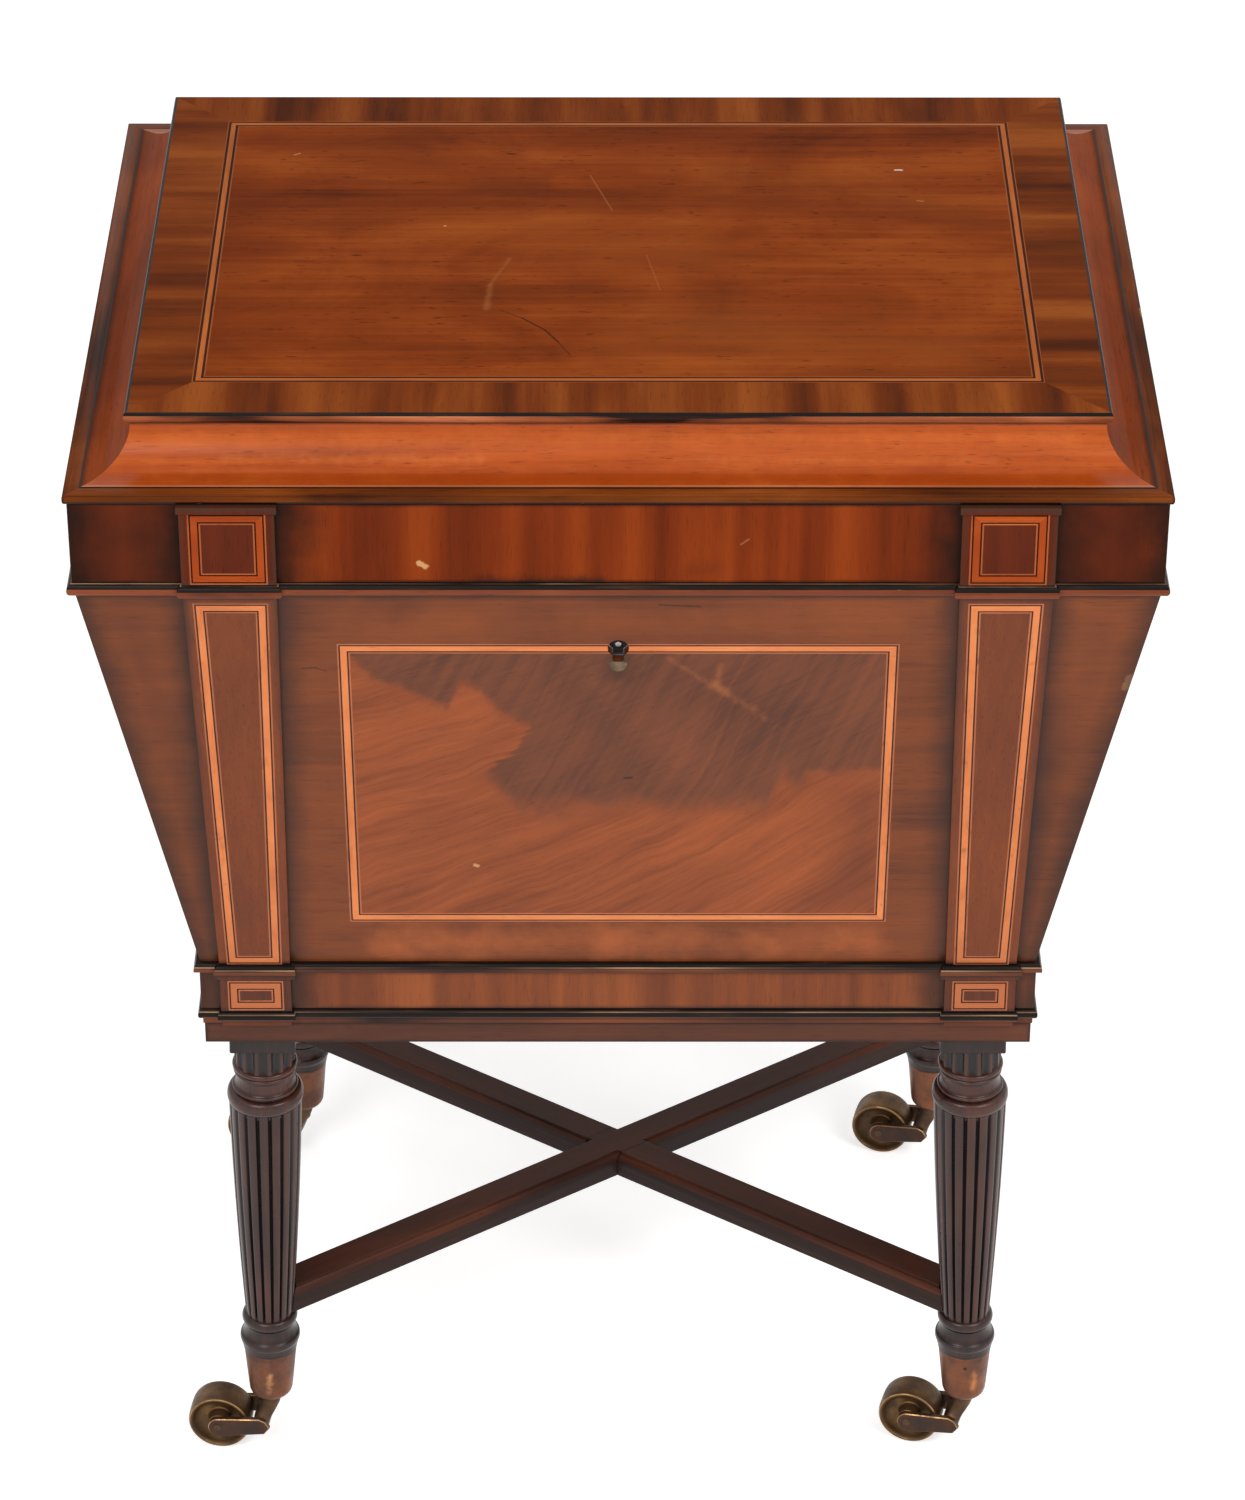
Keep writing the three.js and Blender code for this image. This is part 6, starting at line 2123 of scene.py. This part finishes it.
        # The pale strip on the bead is partly wear and partly a painted highlight
        courses = [*[Course(BASE_BEAD_WOOD)] * 5, Course(BLACK), Course(BEAD_EDGE_WEAR_AND_HIGHLIGHT),
                   *[Course(BLACK)] * 5]
        mould("base_bead_moulding", "base_moulding",
              stepped(profile, self.frieze_inset, self.pilaster_foot_half), courses, self.body,
              "ebonised_wood")

    def panel(self) -> None:
        """The flame veneer inside the centre banding."""
        low, high = self.down(self.panel_foot), self.down(self.panel_head)
        corners = frame_corners(low - self.panel_lap, high + self.panel_lap, self.panel_half)
        shape = self.layered(corners, self.panel_layer, FLAME)
        mesh = cut_out(shape.mesh("flame panel"), self.keyhole())
        seat("body_flame_panel", mesh, self.body, "mahogany")

    def bandings(self) -> None:
        """The satinwood frames on the centre panel, the pilasters and the base blocks."""
        foot, head, half = self.centre_frame
        banded("body_centre_banding", self.body, FRONT_BANDING, self.face_plane(),
               frame_corners(self.down(foot), self.down(head), half), self.keyhole())
        foot, head, foot_half, head_half = self.pilaster_frame
        low, high = self.down(foot), self.down(head)
        for side, name in SIDES:
            x = side * BLOCK_CENTRE
            banded(f"pilaster_{name}_banding", self.body, FRONT_BANDING,
                   self.face_plane(BLOCK_PROUD),
                   frame_corners(low, high, foot_half, head_half, x))
            face = -(LEDGE_DEPTH / 2 - self.frieze_inset + BLOCK_PROUD)
            banded(f"base_block_{name}_banding", self.body, FRONT_BANDING,
                   Plane((x, face, 0), (1, 0, 0), (0, 0, 1)), frame_corners(*self.base_frame))


@dataclass
class Fittings:
    """The lock, its link plate and the two butt hinges, with their screws."""

    arris: float = 0.2
    pin_arris: float = 0.1
    hinge_middle: float = 165.0
    hinge_screws: tuple[Flat, ...] = ((-17.0, 205.4), (0.0, 202.6), (17.0, 205.4))
    lid_level: float = 621.8
    link_screws: tuple[Point, ...] = ((-23, -202.2, 621.8), (23, -202.2, 621.8))
    link_radius: float = 2.2
    lock_screws: tuple[Point, ...] = ((-27, -2.6, -8.5), (27, -2.6, -8.5))
    lock_radius: float = 2.0

    def make(self) -> None:
        """Builds the metal fittings."""
        for node, body, slot, finish in (("lock_case", "carcass", "lock_steel", STEEL),
                                         ("lock_bolt", "lock_bolt", "lock_steel", STEEL),
                                         ("lid_link_plate", "lid", "hinge_brass", HINGE_BRASS)):
            carry(node, body, slot, finish, CROSSWAYS, self.arris)
        for _, side in SIDES:
            for node, body, arris in ((f"lid_hinge_leaf_{side}", "lid", self.arris),
                                      (f"body_hinge_leaf_{side}", "carcass", self.arris),
                                      (f"hinge_pin_{side}", "carcass", self.pin_arris)):
                carry(node, body, "hinge_brass", HINGE_BRASS, CROSSWAYS, arris)
        self.screws()

    def screws(self) -> None:
        """Lays the screws: three in each hinge leaf, two in the link plate and the lock."""
        up, over, carcass = (0.0, 0.0, 0.0), (math.pi, 0.0, 0.0), Body()
        for number, (side, name) in enumerate(SIDES):
            for body, level, facing in (("lid", self.lid_level, over),
                                        ("carcass", carcass.top, up)):
                places = [(side * self.hinge_middle + x, y, level) for x, y in self.hinge_screws]
                shape = Screws(seed=number).laid(places, facing, SCREW_BRASS)
                seat(f"{body}_hinge_screws_{name}", shape.mesh("screws"), body, "hinge_brass")
        link = Screws(radius=self.link_radius, seed=5).laid(self.link_screws, over, SCREW_BRASS)
        seat("link_plate_screws", link.mesh("screws"), "lid", "hinge_brass")
        plane = carcass.face_plane()
        lock = Screws(radius=self.lock_radius, seed=6).laid(
            [plane.at(*place) for place in self.lock_screws], (carcass.cant, 0.0, 0.0), SCREW_BRASS)
        seat("lock_screws", lock.mesh("screws"), "carcass", "lock_steel")


@dataclass
class Corner:
    """One corner of the stand: its name, sides, lean for each unit of drop, and castor turn."""

    name: str
    side_x: int
    side_y: int
    lean: Flat
    turn: float
    top: float = 304.2
    spread: Flat = (196.5, 130.5)

    def leaned(self) -> Matrix:
        """Works out how a leg, made about Z, is stood in its place with its lean.

        Returns:
            The change.
        """
        lean_x, lean_y = self.side_x * self.lean[0], self.side_y * self.lean[1]
        foot = Matrix.Translation((self.side_x * self.spread[0], self.side_y * self.spread[1], 0))
        shear = Matrix.Identity(4)
        shear[0][2], shear[0][3] = -lean_x, lean_x * self.top
        shear[1][2], shear[1][3] = -lean_y, lean_y * self.top
        return foot @ shear

    def axis(self, z: float) -> Flat:
        """Where the leg's axis passes a height."""
        drop = self.top - z
        return (self.side_x * (self.spread[0] + self.lean[0] * drop),
                self.side_y * (self.spread[1] + self.lean[1] * drop))


@dataclass
class Leg:
    """A leg: square block, fluted neck, rings, reeded shaft and turned foot.

    The rings and the foot are rows as turning() takes them.
    """

    corner: Corner
    block_half: float = 18.2
    block_foot: float = 288.0
    block_ease: float = 0.6
    # How much darker the block is made all over
    block_darkening: float = 0.42
    neck: CarvedStretch = CarvedStretch(271.2, 288.3, 17.0, 16.6, 0.0, 14, 1.9, Carving.FLUTES,
                                        4.2, 0.05, 16)
    shaft: CarvedStretch = CarvedStretch(97.4, 246.4, 13.7, 20.5, 0.85, 18, 1.9, Carving.REEDS,
                                         4.5, 1.2)
    rings: tuple[tuple[float, ...], ...] = (
        (16.2, 272.4), (16.9, 18.2, 272.0, 268.6), (16.6, 17.6, 268.2, 265.7), (16.4, 265.2, 0.5),
        (16.2, 264.0), (16.25, 261.5), (16.6, 259.4), (17.1, 258.0, 0.4),
        (17.4, 18.5, 257.7, 255.2), (18.6, 254.8, 0.5), (19.2, 21.4, 254.6, 245.8, 16),
        (18.9, 245.2, 0.9), (18.9, 243.4, 0.9))
    foot: tuple[tuple[float, ...], ...] = (
        (12.4, 98.6, 0.9), (13.6, 15.9, 98.1, 91.4), (14.4, 91.1, 0.6), (14.2, 90.2, 0.2),
        (14.35, 87.6), (15.0, 85.2), (16.0, 83.5, 0.3), (16.3, 17.2, 83.2, 78.6),
        (16.1, 78.3, 0.8), (16.0, 77.6), (15.9, 75.4), (15.6, 75.1, 0.6), (15.5, 73.5),
        (12.9, 73.4), (11.0, 50.6))
    # How much darker the turned foot is made all over
    foot_darkening: float = 0.25
    body: str = "carcass"

    def make(self) -> None:
        """Builds the leg."""
        whole = Shape()
        for part in (self.block(), self.neck.shape(LEG_WOOD), self.turned(self.rings, 0.0),
                     self.shaft.shape(LEG_WOOD), self.turned(self.foot, self.foot_darkening)):
            whole.joined(part)
        whole.moved(self.corner.leaned())
        name = self.corner.name
        seat(f"leg_{name}_turned", whole.mesh("leg"), self.body, "leg_mahogany", [f"leg_{name}"])

    def block(self) -> Shape:
        """The square block under the frame, its edges eased.

        Returns:
            The block, about Z.
        """
        half, ease, foot, top = self.block_half, self.block_ease, self.block_foot, self.corner.top
        cut = half - ease
        rings = []
        for inset, z in ((ease, foot), (0, foot + ease), (0, top - ease), (ease, top)):
            reach = half - inset
            rings.append([(-cut, -reach, z), (cut, -reach, z), (reach, -cut, z), (reach, cut, z),
                          (cut, reach, z), (-cut, reach, z), (-reach, cut, z), (-reach, -cut, z)])
        course = Course(LEG_WOOD, Run.UPRIGHT)
        shape = Shape().loft(rings, [course] * 3, course, course)
        shape.carving = [(self.block_darkening, 0.0, 0.0)] * len(shape.points)
        return shape

    @staticmethod
    def turned(rows: Iterable[tuple[float, ...]], darkening: float) -> Shape:
        """A turned stretch of the leg, darker in its hollows and darker all over by a set amount.
        """
        profile = [(*ring, 0.0)[:3] for ring in turning(rows)]
        return Shape().turned([(radius, z, min(depth + darkening, 1.0)) for radius, z, depth in profile],
                              LEG_WOOD)


@dataclass
class Castor:
    """A castor: the cup on the leg's end, the fork that swivels in it, the wheel, the axle.

    The cup's profile gives a radius and a height over its foot, the spindle's and the wheel's a
    radius and a height. A heel point gives its place along and up from the axle's height, each
    with how it changes for each unit of inset. A stem ring gives its height, its middle, its
    half sizes along and across, and how square its corners are.
    """

    corner: Corner
    cup_foot: float = 39.8
    cup_profile: tuple[Flat, ...] = (
        (4.2, 0.0), (9.0, 0.0), (9.8, 0.25), (11.0, 1.0), (11.9, 2.2), (12.4, 3.6), (12.8, 7.0),
        (14.95, 31.4), (15.2, 32.2), (15.2, 33.0), (14.9, 33.4), (13.3, 33.4), (10.6, 4.4),
        (4.2, 4.4), (4.2, 0.0))
    trail: float = 30.4
    axle_height: float = 18.2
    arm_height: float = 12.8
    arm_rings: tuple[Flat, ...] = ((0.3, 9.5), (0.0, 9.8), (0.0, 12.2), (0.5, 12.7))
    nose_lead: float = 0.8
    nose_drop: float = 0.4
    heel: tuple[tuple[float, float, float, float], ...] = (
        (-3.0, -0.3, -2.6, 1.0), (0.3, -1.3, 1.9, 0.0), (-2.2, -1.0, 6.4, -0.6),
        (-6.0, 0.0, 8.0, -1.0))
    stem: tuple[tuple[float, float, float, float, float], ...] = (
        (39.4, 0.0, 6.2, 6.2, 2.0), (35.0, -0.2, 5.9, 5.9, 2.0), (31.0, -1.0, 5.5, 6.0, 2.2),
        (27.5, -2.5, 5.3, 7.2, 2.6), (25.0, -3.9, 5.2, 9.2, 3.0), (23.0, -4.8, 5.1, 10.9, 3.6),
        (21.0, -5.2, 4.9, 11.9, 4.0), (18.6, -5.4, 4.6, 12.2, 4.0), (16.8, -5.6, 4.0, 11.9, 4.0),
        (16.2, -5.7, 3.2, 11.2, 4.0))
    spindle: tuple[Flat, ...] = ((3.8, 39.0), (3.8, 44.6), (6.4, 44.6), (6.4, 47.0))
    wheel_side: tuple[Flat, ...] = (
        (18.2, 0.0), (18.08, 5.8), (17.8, 7.6), (17.5, 8.4), (16.9, 8.8), (16.2, 8.8), (15.6, 8.3),
        (15.0, 6.6), (13.6, 4.6), (11.8, 3.2), (9.4, 2.7), (7.4, 2.7), (6.6, 3.2), (6.3, 5.0),
        (5.8, 8.8), (5.4, 9.2), (2.8, 9.2))
    wheel_rims: tuple[int, int] = (3, -4)
    arris: float = 0.2

    def make(self) -> None:
        """Builds the castor's pieces."""
        name, placed = self.corner.name, self.placed()
        cup = Shape().turned([(radius, self.cup_foot + rise) for radius, rise in self.cup_profile],
                             CUP_BRASS)
        for part, shape, change, made, body, slot in (
                ("cup", cup, self.corner.leaned(), "turned", "carcass", "castor_cup_brass"),
                ("fork", self.fork(), placed, "cast", f"castor_{name}", "antique_brass"),
                ("wheel", self.wheel(), placed, "turned", f"wheel_{name}", "antique_brass")):
            node = f"castor_{part}_{name}"
            seat(f"{node}_{made}", shape.moved(change).mesh(part), body, slot, [node])
        carry(f"castor_axle_{name}", f"castor_{name}", "antique_brass", FORK_BRASS, UPRIGHT,
              self.arris)

    def placed(self) -> Matrix:
        """The change that puts a piece, made about the swivel's axis, under its leg."""
        spin = Matrix.Rotation(math.radians(self.corner.turn), 4, "Z")
        return Matrix.Translation((*self.corner.axis(self.cup_foot), 0)) @ spin

    def arm_outline(self, inset: float) -> list[Flat]:
        """Draws an arm's side: a round nose and a pointed heel.

        Args:
            inset: how far the outline is moved inwards.

        Returns:
            The outline, along and up.
        """
        radius, height = self.arm_height / 2 - inset, self.axle_height
        nose = [(radius * math.cos(turn) - self.trail + self.nose_lead,
                 height - self.nose_drop + radius * math.sin(turn))
                for turn in np.linspace(math.pi / 2, 1.5 * math.pi, 17)]
        return nose + [(x + across * inset, height + z + up * inset)
                       for x, across, z, up in self.heel]

    def fork(self) -> Shape:
        """The cranked fork: a stem under the cup, its spread foot, two arms and the spindle.

        Returns:
            The fork, about the swivel's axis.
        """
        shape = Shape()
        edge, rubbed = Course(FORK_BRASS), Course(RUBBED_BRASS)
        for side in (-1, 1):
            rings = [[(x, side * y, z) for x, z in self.arm_outline(inset)]
                     for inset, y in self.arm_rings]
            shape.loft(rings, [edge, edge, rubbed], edge, Course(FORK_FACE))
        turns = [(math.cos(turn), math.sin(turn)) for turn in np.linspace(0, math.tau, 32, False)]
        rings = [[(middle + half_x * math.copysign(abs(c) ** (2 / square), c),
                   half_y * math.copysign(abs(s) ** (2 / square), s), z) for c, s in turns]
                 for z, middle, half_x, half_y, square in self.stem]
        shape.loft(rings, [edge] * (len(rings) - 1), edge, edge)
        return shape.joined(Shape().turned(self.spindle, FORK_BRASS, 32))

    def wheel(self) -> Shape:
        """The dished wheel with its hub, turned and then laid over.

        Returns:
            The wheel, beside the swivel's axis.
        """
        profile = [*self.wheel_side, *((radius, -z) for radius, z in reversed(self.wheel_side))]
        wheel = Shape().turned(profile, WHEEL_BRASS, 72, self.wheel_rims, RUBBED_BRASS)
        laid = Matrix.Rotation(math.pi / 2, 4, "X")
        return wheel.moved(Matrix.Translation((-self.trail, 0, self.axle_height)) @ laid)


@dataclass
class Stand:
    """The stand: moulding, plinth frame, legs, stretcher and castors."""

    corners: tuple[Corner, ...] = (Corner("front_left", -1, -1, (0.0175, 0.03), -7),
                                   Corner("front_right", 1, -1, (0.0175, 0.03), -16),
                                   Corner("back_left", -1, 1, (0.0, 0.045), -14),
                                   Corner("back_right", 1, 1, (0.0, 0.045), -14))
    moulding_foot: float = 317.8
    bead_foot: float = 321.8
    moulding_top: float = 327.8
    moulding_inner: float = 72.0
    fillet_inset: float = 52.6
    fillet_ease: float = 0.3
    bead_root: float = 52.0
    bead_crown: float = 50.1
    block_half: float = 19.4
    stretcher_along: float = 0.81
    stretcher_slope: float = 0.723
    stretcher_arris: float = 0.3
    body: str = "carcass"

    def make(self) -> None:
        """Builds the stand's pieces."""
        self.moulding()
        carry("plinth_frame", self.body, "dark_mahogany", STAND_WOOD, CROSSWAYS)
        for name, side in (("over", 1), ("under", -1)):
            along = self.stretcher_along
            lay = Lay((along, along * side * self.stretcher_slope, 0), (0, 0, 1))
            carry(f"stretcher_{name}", self.body, "leg_mahogany", stretcher_finish, lay,
                  self.stretcher_arris, worn=WORN_ARRIS)
        for corner in self.corners:
            Leg(corner).make()
            Castor(corner).make()

    def moulding(self) -> None:
        """The moulding on the stand's top edge: a black bead over a brown fillet."""
        inset, ease = self.fillet_inset, self.fillet_ease
        profile = [(self.moulding_inner, self.moulding_foot), (inset + ease, self.moulding_foot),
                   (inset, self.moulding_foot + ease), (inset, self.bead_foot),
                   *bulge(self.bead_root, self.bead_crown, self.bead_foot, self.moulding_top, 12),
                   (self.moulding_inner, self.moulding_top)]
        # The pale strip on the bead's crown is partly wear and partly a painted highlight
        courses = [*[Course(BASE_BEAD_WOOD)] * 8, *[Course(BLACK)] * 4, Course(BEAD_EDGE_WEAR_AND_HIGHLIGHT),
                   *[Course(BLACK)] * 5]
        mould("stand_bead_moulding", "stand_moulding",
              stepped(profile, self.bead_root, self.block_half), courses, self.body,
              "ebonised_wood")


def main() -> None:
    """Builds the whole scene."""
    logging.basicConfig(level=logging.INFO, format="%(message)s")
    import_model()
    for part in (Camera(), Studio(), Lid(), Body(), Fittings(), Stand()):
        part.make()


if __name__ == "__main__":
    main()
